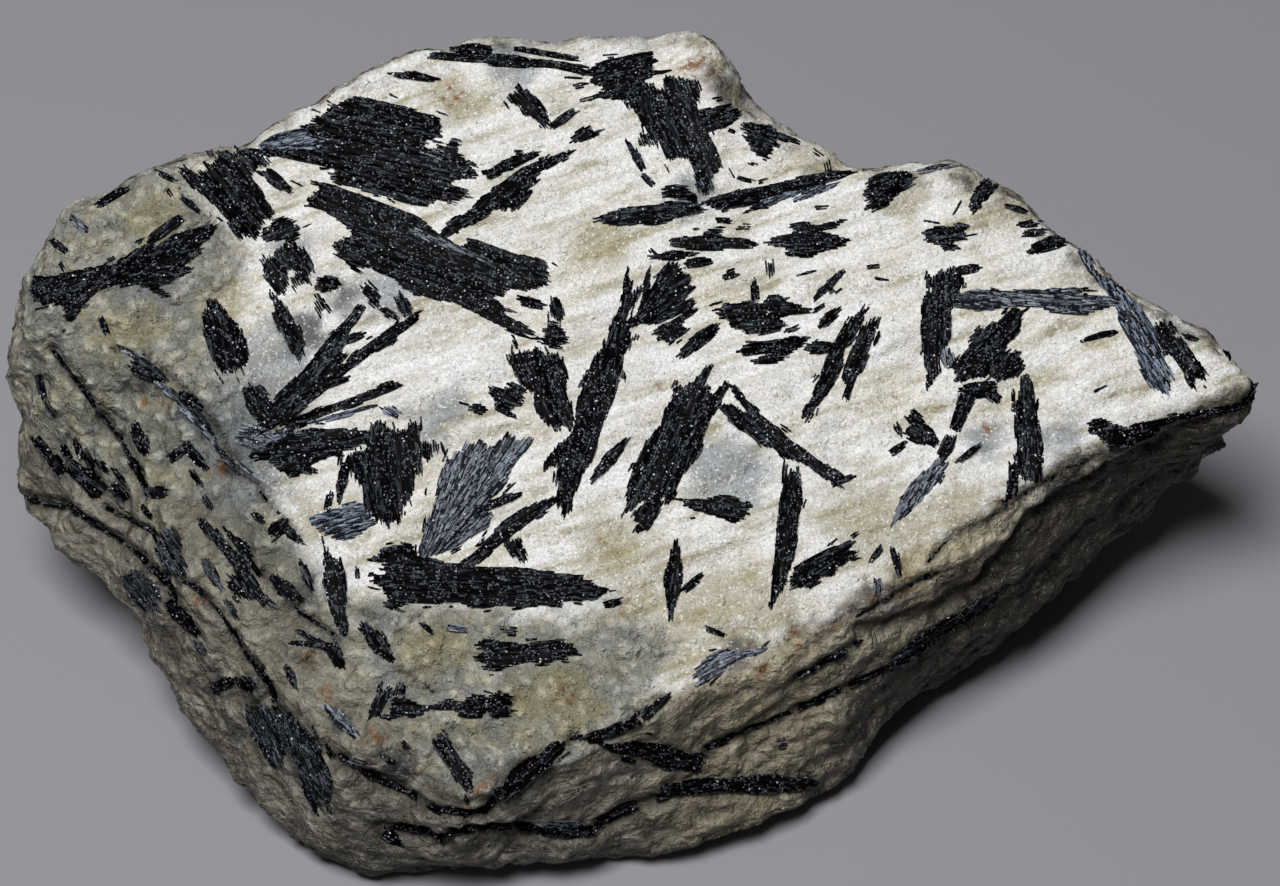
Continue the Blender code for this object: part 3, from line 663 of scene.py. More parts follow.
        plate(-37, (556, 498), (557, 501), (548, 509), (536, 516), (525, 525), (518, 530), (511, 537),
            (497, 548), (489, 555), (475, 566), (464, 568), (459, 564), (471, 557), (482, 545), (491, 536),
            (498, 527), (505, 520), (527, 507), (547, 500)),
        plate(60, (508, 540), (521, 539), (527, 559), (523, 563), (516, 558), (507, 552), (502, 546))],
    "lath_black": [
        plate(2, (370, 560), (380, 557), (381, 549), (398, 545), (407, 544), (414, 548), (420, 557),
            (436, 560), (445, 563), (477, 567), (504, 569), (536, 569), (546, 574), (575, 576), (591, 582),
            (598, 588), (609, 589), (604, 594), (595, 600), (588, 599), (577, 600), (566, 601), (561, 607),
            (541, 606), (500, 606), (482, 609), (468, 606), (459, 602), (436, 603), (418, 604), (409, 602),
            (404, 608), (391, 608), (384, 604), (388, 598), (379, 593), (377, 582), (378, 573), (384, 562))],
    "lens_low": [
        plate(-2, (471, 657), (482, 652), (477, 643), (488, 639), (504, 644), (527, 644), (541, 641),
            (568, 643), (575, 648), (582, 656), (568, 656), (559, 660), (545, 664), (536, 667), (529, 662),
            (518, 664), (504, 668), (498, 672), (487, 670), (482, 665), (472, 661)),
        plate(5, (502, 628), (517, 627), (515, 636), (504, 634))],
    "curl_low": [
        plate(110, (369, 711), (373, 704), (380, 697), (381, 691), (389, 687), (407, 690), (400, 695),
            (391, 698), (384, 703), (383, 711), (378, 718), (370, 719)),
        plate(2, (391, 707), (396, 698), (409, 700), (423, 707), (441, 704), (452, 700), (464, 704),
            (471, 700), (477, 693), (489, 700), (497, 700), (493, 693), (500, 691), (511, 695), (512, 704),
            (505, 711), (509, 717), (495, 718), (486, 709), (480, 718), (461, 718), (457, 711), (448, 710),
            (427, 709), (420, 716), (411, 718), (404, 714), (393, 718))],
    "lath_centre": [
        plate(114, (624, 513), (628, 504), (627, 489), (631, 477), (638, 461), (642, 450), (649, 439),
            (656, 429), (663, 425), (664, 413), (670, 404), (674, 395), (674, 386), (686, 386), (699, 379),
            (704, 370), (710, 367), (706, 377), (699, 391), (706, 386), (704, 398), (713, 395), (722, 384),
            (729, 381), (729, 387), (722, 396), (718, 407), (706, 427), (699, 441), (703, 443), (699, 455),
            (681, 475), (676, 487), (676, 495), (669, 500), (656, 502), (642, 501), (636, 507), (628, 515)),
        plate(122, (633, 512), (642, 505), (656, 501), (667, 502), (658, 509), (661, 516), (653, 521),
            (651, 530), (640, 533), (631, 532), (640, 523))],
    "thorn_centre": [
        plate(40, (728, 382), (738, 389), (745, 398), (760, 414), (768, 423), (781, 430), (790, 441),
            (801, 448), (813, 457), (826, 466), (836, 471), (845, 478), (842, 482), (835, 484), (822, 477),
            (813, 468), (801, 463), (790, 460), (781, 459), (779, 452), (767, 446), (756, 441), (744, 432),
            (733, 423), (719, 407), (731, 405), (740, 411), (751, 418), (744, 407), (735, 396)),
        (834, 485, 856, 475, 4, 5, 2)],
    "needle_right": [
        plate(95, (782, 459), (786, 461), (788, 477), (790, 461), (793, 473), (799, 468), (801, 489),
            (801, 500), (797, 527), (797, 543), (794, 560), (788, 575), (780, 590), (771, 610), (769, 604),
            (772, 585), (775, 560), (776, 545), (778, 518), (780, 500), (783, 488), (781, 468))],
    "lens_centre": [
        plate(4, (685, 502), (690, 500), (710, 500), (717, 497), (740, 498), (738, 502), (755, 506),
            (740, 511), (746, 518), (733, 523), (722, 519), (699, 512), (690, 507))],
    "lens_small": [
        (676, 537, 670, 623, 4, 19, 3)],
    "lath_low": [
        plate(-28, (792, 577), (796, 566), (808, 560), (822, 552), (838, 545), (853, 541), (849, 550),
            (858, 552), (850, 560), (838, 566), (832, 577), (820, 576), (812, 587), (800, 587))],
    "blade_left": [
        plate(79, (324, 547), (330, 555), (336, 563), (341, 559), (343, 571), (346, 582), (347, 598),
            (344, 611), (348, 636), (343, 636), (337, 627), (333, 618), (329, 604), (328, 595), (322, 581),
            (325, 563))],
    "shoulder_left": [
        plate(52, (195, 514), (205, 518), (216, 530), (228, 545), (240, 555), (252, 572), (262, 590),
            (267, 603), (258, 600), (244, 598), (230, 592), (228, 574), (236, 570), (226, 556), (212, 541),
            (200, 527)),
        (226, 529, 262, 578, 3, 5, 3)],
    "shoulder_far": [
        plate(58, (158, 534), (166, 527), (176, 530), (182, 542), (180, 552), (188, 566), (184, 575),
            (170, 572), (162, 562), (160, 548), tone="dusty")],
    "wall_left": [
        plate(62, (246, 706), (262, 703), (280, 712), (298, 724), (318, 741), (322, 760), (334, 782),
            (330, 806), (318, 812), (304, 790), (296, 760), (284, 752), (280, 766), (264, 756), (252, 736),
            tone="dusty")],
    "wall_far": [
        plate(50, (120, 574), (136, 570), (150, 580), (162, 596), (160, 610), (146, 610), (130, 596),
            tone="dusty"),
        (168, 602, 198, 634, 8, 12, 7)],
    "block_front": [
        plate(55, (430, 740), (442, 738), (447, 735), (458, 754), (466, 764), (472, 776), (470, 787),
            (468, 804), (463, 800), (464, 790), (458, 781), (449, 769), (444, 759), (434, 750))],
    "blade_front": [
        plate(10, (597, 740), (612, 745), (636, 742), (650, 742), (672, 747), (684, 753), (701, 754),
            (701, 762), (696, 773), (679, 769), (665, 771), (650, 762), (636, 755), (610, 751), (600, 745)),
        (594, 739, 632, 721, 4, 9, 6)],
    "patch_front": [
        plate(-38, (502, 788), (511, 771), (521, 764), (530, 757), (540, 754), (552, 742), (568, 740),
            (564, 750), (549, 764), (533, 776), (525, 785), (516, 795), (506, 799))],
    "lens_edge": [
        plate(-28, (694, 678), (696, 668), (710, 656), (720, 650), (742, 651), (756, 650), (770, 650),
            (756, 655), (742, 656), (734, 663), (725, 668), (715, 675), (703, 684), (696, 684),
            tone="veil"),
        (712, 662, 765, 650, 3, 4, 2, "paintedSheen")],
}

# Crystals that the photograph hides or shows only as a dark place: they follow their own solids
solidCrystals = ["wall_right", "back_fan", "back_lath", "back_left", "back_right"]
# How far each tone is painted sheen, and how far veil
toneShares = {"black": (0.0, 0.0), "paintedSheen": (1.0, 0.0), "veil": (0.0, 1.0), "dusty": (0.0, 0.2)}
# How a cleaved face takes the light: strength and depth, in mm, of its ripples, then gloss
glaucophaneSurface = {"bump": 0.25, "relief": 0.05, "roughness": 0.42, "ior": 1.5, "gloss": 0.025}


def glaucophaneMaterial():
    # Cleaved glaucophane: near black, with a little glassy gloss, a painted blue-grey sheen along the fibres
    # of some, and dust of albite on it
    material, tree, place = newMaterial("cleavedGlaucophane")
    share = attribute(tree, "blade")
    black = ramp(tree, share, (0.0, "#020203"), (0.74, "#060607"), (0.88, "#121417"), (1.0, "#42474E"))
    # the paintedSheen tone: a painted blue-grey sheen along the fibres
    paintedSheenRamp = ramp(tree, share, (0.0, "#0A0C0F"), (0.55, "#1A1F27"), (1.0, "#8C97A9"))
    dimmed = ramp(tree, share, (0.0, "#0C0E11"), (0.55, "#20242B"), (1.0, "#8D95A0"))
    colour = mixed(tree, attribute(tree, "paintedSheen"), black, paintedSheenRamp)
    colour = mixed(tree, attribute(tree, "veil"), colour, dimmed)
    # albite dust: 0.12 mm specks, in drifts, a few greyish; one in two hundred is a bright painted sparkle
    speck = grainShares(tree, place, 0.12)[0]
    drift = noiseOf(tree, place, 1.2, 2.0).outputs[0]
    clear = rescaled(tree, drift, 0.35, 0.65, 0.985, 0.87)
    colour = mixed(tree, maths(tree, "GREATER_THAN", speck, clear), colour, linearColour("#676B72"))
    colour = mixed(tree, maths(tree, "GREATER_THAN", speck, 0.995), colour, linearColour("#CDD1D6"))
    # 0.3 mm ripples break up the glint of a blade
    ripples = noiseOf(tree, place, 0.3, 2.0).outputs[0]
    addSurface(tree, colour, ripples, glaucophaneSurface)
    return material


glaucophane = glaucophaneMaterial()


# Geometry Nodes that lay small pieces on a surface

def newTree(name, titles):
    # an empty group and its inputs: the geometry, a number for each title, and the seed
    tree = bpy.data.node_groups.new(name, "GeometryNodeTree")
    tree.is_modifier = True
    for way in ("INPUT", "OUTPUT"):
        tree.interface.new_socket("Geometry", in_out=way, socket_type="NodeSocketGeometry")
    for title in titles:
        tree.interface.new_socket(title, in_out="INPUT", socket_type="NodeSocketFloat")
    tree.interface.new_socket("Seed", in_out="INPUT", socket_type="NodeSocketInt")
    return tree, addNode(tree, "NodeGroupInput").outputs


def scatter(tree, entry, perArea, share):
    # points on the faces, fewer where the mesh's attribute is small
    where = addNode(tree, "GeometryNodeInputNamedAttribute", {"Name": share}, data_type="FLOAT")
    density = maths(tree, "MULTIPLY", entry[perArea], where.outputs[0])
    return addNode(tree, "GeometryNodeDistributePointsOnFaces",
                   {"Mesh": entry[0], "Density": density, "Seed": entry["Seed"]},
                   distribute_method="RANDOM").outputs


def randomBetween(tree, entry, low, high):
    # a random number or vector of each point
    if isinstance(low, tuple):
        return addNode(tree, "FunctionNodeRandomValue", {0: low, 1: high, "Seed": entry["Seed"]},
                       data_type="FLOAT_VECTOR").outputs[0]
    return addNode(tree, "FunctionNodeRandomValue", {2: low, 3: high, "Seed": entry["Seed"]},
                   data_type="FLOAT").outputs[1]


def turnedFurther(tree, rotation, angles):
    turn = addNode(tree, "FunctionNodeEulerToRotation", {0: angles})
    return addNode(tree, "FunctionNodeRotateRotation",
                   {"Rotation": rotation, "Rotate By": turn.outputs[0]}, rotation_space="LOCAL").outputs[0]


def copiesOn(tree, points, piece, rotation, size):
    copies = addNode(tree, "GeometryNodeInstanceOnPoints",
                     {"Points": points, "Instance": piece, "Rotation": rotation, "Scale": size})
    return addNode(tree, "GeometryNodeRealizeInstances", {"Geometry": copies.outputs[0]}).outputs[0]


def endTree(tree, geometry, material):
    flat = addNode(tree, "GeometryNodeSetShadeSmooth", {"Geometry": geometry, "Shade Smooth": False})
    painted = addNode(tree, "GeometryNodeSetMaterial", {"Geometry": flat.outputs[0], "Material": material})
    addNode(tree, "NodeGroupOutput", {0: painted.outputs[0]})


def runTree(item, tree, values):
    modifier = item.modifiers.new(tree.name, "NODES")
    modifier.node_group = tree
    for socket in tree.interface.items_tree:
        if socket.name in values and socket.in_out == "INPUT":
            modifier[socket.identifier] = values[socket.name]
    bakeModifiers(item)


def bladeTree(material):
    # blades laid side by side along the "flow" of a crystal's upper faces
    tree, entry = newTree("bladeSheaf", ("Blade Length", "Blade Width", "Blades per m2", "Tilt"))
    points = scatter(tree, entry, "Blades per m2", "upper")
    marked = addNode(tree, "GeometryNodeStoreNamedAttribute",
                     {"Geometry": points["Points"], "Name": "blade",
                      "Value": randomBetween(tree, entry, 0.0, 1.0)}, data_type="FLOAT", domain="POINT")
    flow = addNode(tree, "GeometryNodeInputNamedAttribute", {"Name": "flow"}, data_type="FLOAT_VECTOR")
    along = addNode(tree, "FunctionNodeAlignRotationToVector",
                    {"Rotation": points["Rotation"], "Vector": flow.outputs[0]}, axis="X", pivot_axis="Z")
    swing = randomBetween(tree, entry, (-1.0, -1.0, -1.0), (1.0, 1.0, 1.0))
    tilt = addNode(tree, "ShaderNodeVectorMath",
                   {0: swing, "Scale": maths(tree, "MULTIPLY", entry["Tilt"], -1.0)}, operation="SCALE")
    turned = turnedFurther(tree, along.outputs[0], tilt.outputs[0])
    # one tapering three-sided blade, 1 long and 1 wide, lying along X
    cone = addNode(tree, "GeometryNodeMeshCone",
                   {"Vertices": 3, "Radius Top": 0.2, "Radius Bottom": 0.5, "Depth": 1.0})
    lying = addNode(tree, "GeometryNodeTransform",
                    {"Geometry": cone.outputs[0], "Translation": (-0.5, 0.0, 0.0),
                     "Rotation": (0.0, math.pi / 2, 0.0)})
    length = maths(tree, "MULTIPLY", entry["Blade Length"], randomBetween(tree, entry, 0.55, 1.35))
    width = maths(tree, "MULTIPLY", entry["Blade Width"], randomBetween(tree, entry, 0.6, 1.5))
    size = addNode(tree, "ShaderNodeCombineXYZ", {0: length, 1: width, 2: width})
    blades = copiesOn(tree, marked.outputs[0], lying.outputs[0], turned, size.outputs[0])
    joined = addNode(tree, "GeometryNodeJoinGeometry", {"Geometry": blades})
    tree.links.new(entry[0], joined.inputs[0])
    endTree(tree, joined.outputs[0], material)
    return tree


sheaf = bladeTree(glaucophane)


def newSheafShape():
    shape = bmesh.new()
    layers = {
        "flow": shape.verts.layers.float_vector.new("flow"),
        "blade": shape.verts.layers.float.new("blade"),
        "paintedSheen": shape.verts.layers.float.new("paintedSheen"),
        "veil": shape.verts.layers.float.new("veil"),
        "upper": shape.faces.layers.float.new("upper"),
    }
    return shape, layers


def addFibre(shape, layers, course, halves, facing, stand, share, tone, dice):
    # one closed fibre along points on the rock, four-sided and drawn in at both ends
    along = (course[-1] - course[0]).normalized()
    side = facing.cross(along).normalized()
    lean = dice.uniform(-crystalLook["lean"], crystalLook["lean"])
    jitter = crystalLook["jitter"]
    depth = facing * crystalLook["sunk"]
    paintedSheen, veil = toneShares[tone]
    rings = []
    for i, (place, half) in enumerate(zip(course, halves)):
        atEnd = i in (0, len(course) - 1)
        pinch = crystalLook["endPinch"] if atEnd else dice.uniform(*crystalLook["swell"])
        rise = stand * min(1.0, pinch) + dice.uniform(-jitter, jitter)
        across = side * half * pinch
        corners = (place - across + facing * (rise + lean), place + across + facing * (rise - lean),
                   place + across - depth, place - across - depth)
        ring = [shape.verts.new(corner) for corner in corners]
        for vertex in ring:
            vertex[layers["flow"]] = along
            vertex[layers["blade"]] = share
            vertex[layers["paintedSheen"]] = paintedSheen
            vertex[layers["veil"]] = veil
        rings.append(ring)
    for one, two in zip(rings, rings[1:]):
        for k in range(4):
            m = (k + 1) % 4
            face = shape.faces.new((one[k], one[m], two[m], two[k]))
            face[layers["upper"]] = 1.0 if k == 0 else 0.0
    shape.faces.new(rings[0][::-1])
    shape.faces.new(rings[-1])


def crossings(outline, along, side, position):
    # where the line at this position across the outline runs inside it: starts and ends along it
    found = []
    for one, two in zip(outline, outline[1:] + outline[:1]):
        a, b = one.dot(side) - position, two.dot(side) - position
        if (a < 0) != (b < 0):
            found.append(one.lerp(two, a / (a - b)).dot(along))
    found.sort()
    return zip(found[::2], found[1::2])


def fibreLines(outline, heading, focus, step, dice):
    # direction, sideways direction and position of each fibre, and its spread per unit of length
    if focus is None:
        along = Vector((math.cos(heading), math.sin(heading)))
        side = Vector((-along.y, along.x))
        reach = [corner.dot(side) for corner in outline]
        position = min(reach) + step * 0.4
        while position < max(reach):
            yield along, side, position, 0.0
            position += step * dice.uniform(*crystalLook["spacing"])
        return
    rays = [corner - focus for corner in outline]
    middle = sum(rays, Vector((0.0, 0.0)))
    angles = [middle.angle_signed(ray) for ray in rays]
    turn = step / (max(ray.length for ray in rays) * 0.7)
    angle = min(angles) + turn * 0.4
    start = math.atan2(middle.y, middle.x)
    while angle < max(angles):
        along = Vector((math.cos(start - angle), math.sin(start - angle)))
        side = Vector((-along.y, along.x))
        yield along, side, focus.dot(side), turn
        angle += turn * dice.uniform(*crystalLook["spacing"])


def layFibres(shape, layers, outline, heading, focus, unit, placeAt, facing, tone, dice, lift=0.0):
    # Fills an outline with fibres. Its units are unit mm long, and placeAt puts a point on the rock.
    step = crystalLook["fibreStep"] / unit
    ragged = crystalLook["raggedEnd"] / unit
    wave = dice.uniform(0, 99)
    spots = []
    fresh, before, after = 0, 0.0, 0.0
    for number, (along, side, position, turn) in enumerate(fibreLines(outline, heading, focus, step, dice)):
        # neighbouring fibres stand much alike
        drift = number * crystalLook["drift"]
        near = noise.noise(Vector((drift, wave, 0.0)))
        far = noise.noise(Vector((drift, wave, 9.0)))
        rise = near * 1.6 + dice.uniform(-0.6, 0.6)
        stand = lift + crystalLook["stand"] + crystalLook["unevenness"] * rise
        share = clamp(0.5 + 0.5 * far + dice.uniform(-0.35, 0.35))
        if number >= fresh:
            fresh = number + dice.choice(crystalLook["bundle"])
            before, after = dice.gauss(0, ragged), dice.gauss(0, ragged)
        for start, end in crossings(outline, along, side, position):
            start += before + dice.gauss(0, ragged * 0.25)
            end += after + dice.gauss(0, ragged * 0.25)
            if end - start < crystalLook["shortestFibre"] / unit:
                continue
            count = max(2, round((end - start) * unit / crystalLook["rowStep"]) + 1)
            course, halves = [], []
            for i in range(count):
                reach = start + (end - start) * i / (count - 1)
                course.append(placeAt(along * reach + side * position))
                width = step if focus is None else max(step * 0.4, turn * (reach - focus.dot(along)))
                halves.append(width * unit * crystalLook["fibreOverlap"] / 2)
            addFibre(shape, layers, course, halves, facing, stand, share, tone, dice)
            spots += course
    return spots


def strokeOutline(stroke):
    start, end = Vector(stroke[0:2]), Vector(stroke[2:4])
    along = (end - start).normalized()
    side = Vector((-along.y, along.x))
    middle = (start + end) / 2
    first, second, third = [w / 2 for w in stroke[4:7]]
    outline = [start - side * first, middle - side * second, end - side * third,
               end + side * third, middle + side * second, start + side * first]
    return outline, math.atan2(along.y, along.x)


def photoShape(shape, layers, given, dice, lift):
    # a stroke or an outline in pixels, laid on the rock
    focus, heading = None, 0.0
    if isinstance(given, dict):
        outline = [Vector(corner) for corner in given["outline"]]
        tone = given["tone"]
        if "focus" in given:
            focus = Vector(given["focus"])
        else:
            heading = math.radians(given["heading"])
    else:
        outline, heading = strokeOutline(given)
        tone = given[7] if len(given) > 7 else "black"
    facing = Vector()
    for corner in outline:
        facing += onRock(*corner)[1]
    facing.normalize()
    return layFibres(shape, layers, outline, heading, focus, pixelSize, lambda spot: onRock(*spot)[0],
                     facing, tone, dice, lift)


def dropOn(middle, along, side, facing, height):
    # a function that puts a point on the rock, dropped from height mm above it
    def placeAt(spot):
        above = middle + along * spot.x + side * spot.y + facing * height
        return skin.ray_cast(above, -facing)[0] or skin.find_nearest(above - facing * height)[0]

    return placeAt


def solidShape(shape, layers, name, dice):
    # fibres along the longest way through a CAD crystal, laid on the rock from outside
    body = weldedNode(name)
    points = np.array([v.co for v in body.verts])
    body.free()
    facing = crystalFacing[name]
    middle = points.mean(0)
    flat = points - middle - np.outer((points - middle) @ np.array(facing), np.array(facing))
    along = Vector(np.linalg.svd(flat)[2][0]).normalized()
    side = facing.cross(along)
    shares = flat @ np.array(along)
    across = flat @ np.array(side)
    start, end = float(shares.min()), float(shares.max())
    half = float(np.ptp(across)) / 2
    outline = [Vector(corner) for corner in (
        (start, -half * 0.4), (start * 0.4, -half * 0.9), (end * 0.5, -half), (end, -half * 0.55),
        (end, half * 0.3), (end * 0.6, half * 0.9), (start * 0.5, half), (start, half * 0.5))]
    placeAt = dropOn(Vector(middle), along, side, facing, 6.0)
    return layFibres(shape, layers, outline, 0.0, None, 1.0, placeAt, facing, "black", dice)


def sideLens(shape, layers, given, dice):
    # a lens of fibres on a side that the photograph hides, given by bearing, height, length and width
    bearing, height, length, width = given
    outward = Vector((math.cos(math.radians(bearing)), math.sin(math.radians(bearing)), 0.0))
    centre, normal, _, _ = skin.ray_cast(outward * 90.0 + Vector((0.0, 0.0, height)), -outward)
    along = topNormal.cross(normal).normalized()
    along = (along + normal.cross(along) * dice.uniform(-0.3, 0.3)).normalized()
    side = normal.cross(along)
    outline = [Vector((length * a, width * b)) for a, b in (
        (-0.5, 0.1), (-0.3, 0.45), (0.1, 0.5), (0.35, 0.3), (0.5, -0.1), (0.2, -0.5), (-0.2, -0.4))]
    placeAt = dropOn(centre, along, side, normal, 4.0)
    return layFibres(shape, layers, outline, 0.0, None, 1.0, placeAt, normal, "black", dice)


def growCrystal(name, shapes, seed, lift=0.0):
    dice = random.Random(seed)
    shape, layers = newSheafShape()
    spots = []
    for given in shapes:
        if isinstance(given, str):
            spots += solidShape(shape, layers, given, dice)
        elif len(given) == 4:
            spots += sideLens(shape, layers, given, dice)
        else:
            spots += photoShape(shape, layers, given, dice, lift)
    bmesh.ops.recalc_face_normals(shape, faces=shape.faces)
    item = objectFrom(shape, name, glaucophane)
    runTree(item, sheaf, {
        "Blade Length": crystalLook["bladeLength"] * mm,
        "Blade Width": crystalLook["bladeWidth"] * mm,
        "Blades per m2": crystalLook["bladesPerMm2"] / mm ** 2,
        "Tilt": math.radians(crystalLook["tilt"]),
        "Seed": seed,
    })
    return item, spots


crystalPlans = [(name, shapes, 100 + number) for number, (name, shapes) in enumerate(topCrystals.items())]
crystalPlans += [(name, ["glaucophane_" + name], 200 + number) for number, name in enumerate(solidCrystals)]
crystalSpots = []
crystalTriangles = 0
for name, shapes, seed in crystalPlans:
    crystal, spots = growCrystal(name, shapes, seed)
    crystalSpots += spots
    crystalTriangles += triangleCount(crystal.data)
    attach(crystal, "root")
    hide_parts("glaucophane_" + name)
print("crystals", crystalTriangles, "triangles")


# Small crystals between the named ones, as one piece
smallStrokes = [(456, 52, 493, 54, 10, 14, 12), (430, 56, 591, 68, 5, 11, 3), (519, 50, 579, 60, 4, 5, 3),
    (553, 66, 589, 74, 3, 4, 3), (395, 74, 441, 80, 4, 8, 3), (553, 127, 577, 110, 6, 8, 6),
    (572, 141, 589, 130, 8, 12, 8), (580, 140, 598, 133, 3, 4, 3), (628, 142, 643, 171, 4, 7, 8),
    (644, 177, 653, 186, 6, 8, 6), (740, 178, 751, 181, 3, 4, 3), (815, 152, 824, 158, 3, 4, 3),
    (816, 209, 829, 208, 4, 5, 4), (971, 209, 993, 180, 8, 18, 14), (955, 214, 961, 203, 3, 3, 2),
    (1005, 206, 1025, 212, 3, 4, 3), (1021, 225, 1040, 224, 5, 6, 4), (1025, 234, 1046, 233, 5, 6, 4),
    (1031, 250, 1066, 240, 8, 14, 10), (680, 357, 717, 326, 6, 14, 10), (786, 332, 794, 329, 4, 5, 4),
    (813, 302, 847, 269, 4, 6, 4), (813, 312, 823, 306, 4, 5, 4), (831, 293, 837, 289, 5, 6, 5),
    (804, 276, 814, 273, 4, 5, 4), (865, 268, 881, 266, 3, 4, 3), (874, 279, 889, 281, 3, 3, 3),
    (698, 381, 711, 367, 4, 5, 4), (1084, 340, 1119, 331, 3, 4, 2), (1099, 390, 1107, 386, 3, 3, 2),
    (1184, 337, 1198, 341, 4, 5, 4), (1223, 351, 1237, 359, 4, 6, 4), (1264, 380, 1240, 405, 4, 8, 6),
    (1240, 405, 1170, 419, 6, 7, 4), (996, 388, 962, 392, 14, 14, 12), (968, 392, 954, 432, 16, 14, 12),
    (990, 395, 998, 402, 8, 12, 10), (950, 438, 942, 458, 12, 12, 8), (908, 412, 923, 426, 12, 14, 10),
    (896, 426, 900, 433, 5, 6, 5), (908, 433, 930, 441, 12, 14, 10), (892, 453, 906, 443, 5, 6, 4),
    (923, 426, 938, 448, 8, 10, 8), (959, 462, 981, 445, 5, 6, 4), (946, 352, 950, 368, 8, 14, 8, "veil"),
    (872, 559, 879, 550, 3, 4, 3), (891, 545, 900, 576, 3, 9, 3), (876, 579, 877, 596, 6, 8, 5, "veil"),
    (678, 596, 701, 576, 5, 6, 4), (604, 606, 621, 602, 6, 8, 6), (707, 629, 726, 637, 5, 6, 4),
    (365, 626, 392, 660, 10, 20, 6), (420, 622, 432, 633, 4, 5, 4), (448, 629, 464, 631, 6, 8, 6, "veil"),
    (590, 596, 604, 594, 5, 6, 4), (379, 753, 395, 763, 4, 5, 4), (590, 738, 640, 722, 6, 8, 6),
    (640, 722, 672, 694, 5, 6, 5), (539, 828, 592, 828, 8, 14, 8), (779, 744, 789, 743, 10, 12, 8, "veil"),
    (100, 205, 131, 186, 6, 7, 4), (71, 219, 87, 232, 6, 8, 6, "veil"), (52, 240, 66, 251, 4, 6, 4),
    (59, 261, 63, 269, 4, 5, 4), (167, 189, 171, 195, 3, 4, 3), (181, 198, 198, 212, 4, 5, 3),
    (155, 171, 175, 181, 3, 4, 3), (100, 318, 107, 333, 6, 7, 5), (135, 366, 165, 380, 10, 14, 8),
    (178, 392, 202, 412, 8, 16, 10), (134, 424, 146, 452, 8, 16, 12), (170, 460, 190, 446, 8, 10, 8),
    (188, 448, 206, 468, 8, 10, 8), (150, 492, 165, 494, 10, 14, 8), (39, 376, 46, 401, 5, 6, 4),
    (35, 436, 50, 458, 8, 10, 8), (53, 458, 64, 475, 10, 12, 10), (71, 465, 106, 493, 12, 18, 12),
    (76, 440, 82, 461, 6, 8, 6), (114, 486, 126, 500, 8, 10, 8), (268, 536, 286, 522, 12, 16, 8),
    (284, 528, 303, 543, 10, 8, 3), (273, 578, 300, 602, 6, 16, 8), (297, 630, 340, 655, 3, 6, 8),
    (290, 643, 335, 645, 3, 4, 4), (330, 645, 344, 670, 12, 14, 5), (212, 690, 232, 680, 8, 12, 8),
    (236, 676, 256, 690, 10, 14, 10), (326, 706, 358, 738, 8, 12, 8, "veil"),
    (383, 834, 401, 844, 10, 12, 8), (116, 346, 142, 358, 2, 4, 3, "veil"),
    (128, 352, 152, 370, 3, 6, 3, "dusty"), (140, 358, 174, 384, 3, 5, 2, "dusty"),
    (150, 374, 176, 398, 2, 5, 3, "veil"), (165, 385, 200, 422, 3, 6, 3, "dusty"),
    (176, 402, 206, 430, 2, 5, 3, "veil"), (184, 396, 216, 438, 3, 6, 3, "dusty"),
    (196, 424, 224, 452, 3, 6, 3, "veil"), (214, 444, 240, 474, 3, 7, 3, "dusty"),
    (236, 462, 262, 486, 3, 6, 3, "veil"), (540, 831, 593, 832, 7, 11, 6), (664, 790, 730, 783, 8, 14, 10),
    (722, 784, 816, 784, 10, 16, 8), (47, 404, 58, 418, 6, 8, 5, "dusty"),
    (92, 474, 100, 490, 6, 9, 6, "dusty"), (204, 560, 222, 590, 6, 10, 5, "dusty"),
    (300, 560, 312, 590, 5, 8, 4, "dusty"), (64, 448, 72, 462, 5, 7, 4), (86, 452, 92, 468, 4, 8, 4),
    (98, 462, 112, 474, 4, 9, 5), (84, 486, 100, 498, 4, 8, 4), (114, 470, 124, 482, 3, 6, 4),
    (142, 506, 150, 516, 4, 6, 4), (190, 470, 200, 484, 3, 7, 4), (206, 500, 214, 512, 4, 6, 3),
    (240, 540, 252, 556, 4, 8, 4), (252, 512, 262, 520, 4, 7, 5), (262, 596, 276, 608, 4, 7, 3, "dusty"),
    (226, 600, 240, 622, 5, 8, 4, "dusty"), (196, 640, 206, 656, 5, 8, 5, "dusty"),
    (286, 664, 298, 690, 4, 7, 4, "dusty"), (352, 760, 372, 768, 5, 8, 4, "dusty"),
    (402, 742, 412, 752, 4, 6, 4)]

chipLook = {
    "spacing": 22,            # pixels of the photograph between chips along a crystal's outline
    "share": 0.5,             # of those places that have one
    "away": 5.0,              # pixels off the outline
    "length": (4, 13),
    "width": (2, 4.5),
    "swing": 16,              # degrees off the crystal's own fibres
}
# Dark seams of glaucophane down in the partings of the shoulder and sides, which also stand as painted shade
# in those grooves: their width in pixels
seamsAndGrooveShade = {"shoulderLong": 6, "shoulderUpper": 6, "shoulderLower": 5, "wallLong": 5, "topEdge": 4,
         "topLower": 4, "fineOne": 3, "fineTwo": 3, "fineThree": 2, "frontBand": 8, "frontWall": 6,
         "frontDark": 12, "rightShort": 6, "rimUpper": 3, "rimLower": 3}
seamPiece = (8, 30)           # pixels, shortest and longest piece of a seam


def seesRock(x, y):
    start, direction = rayThrough(x, y)
    return skin.ray_cast(start, direction)[0] is not None


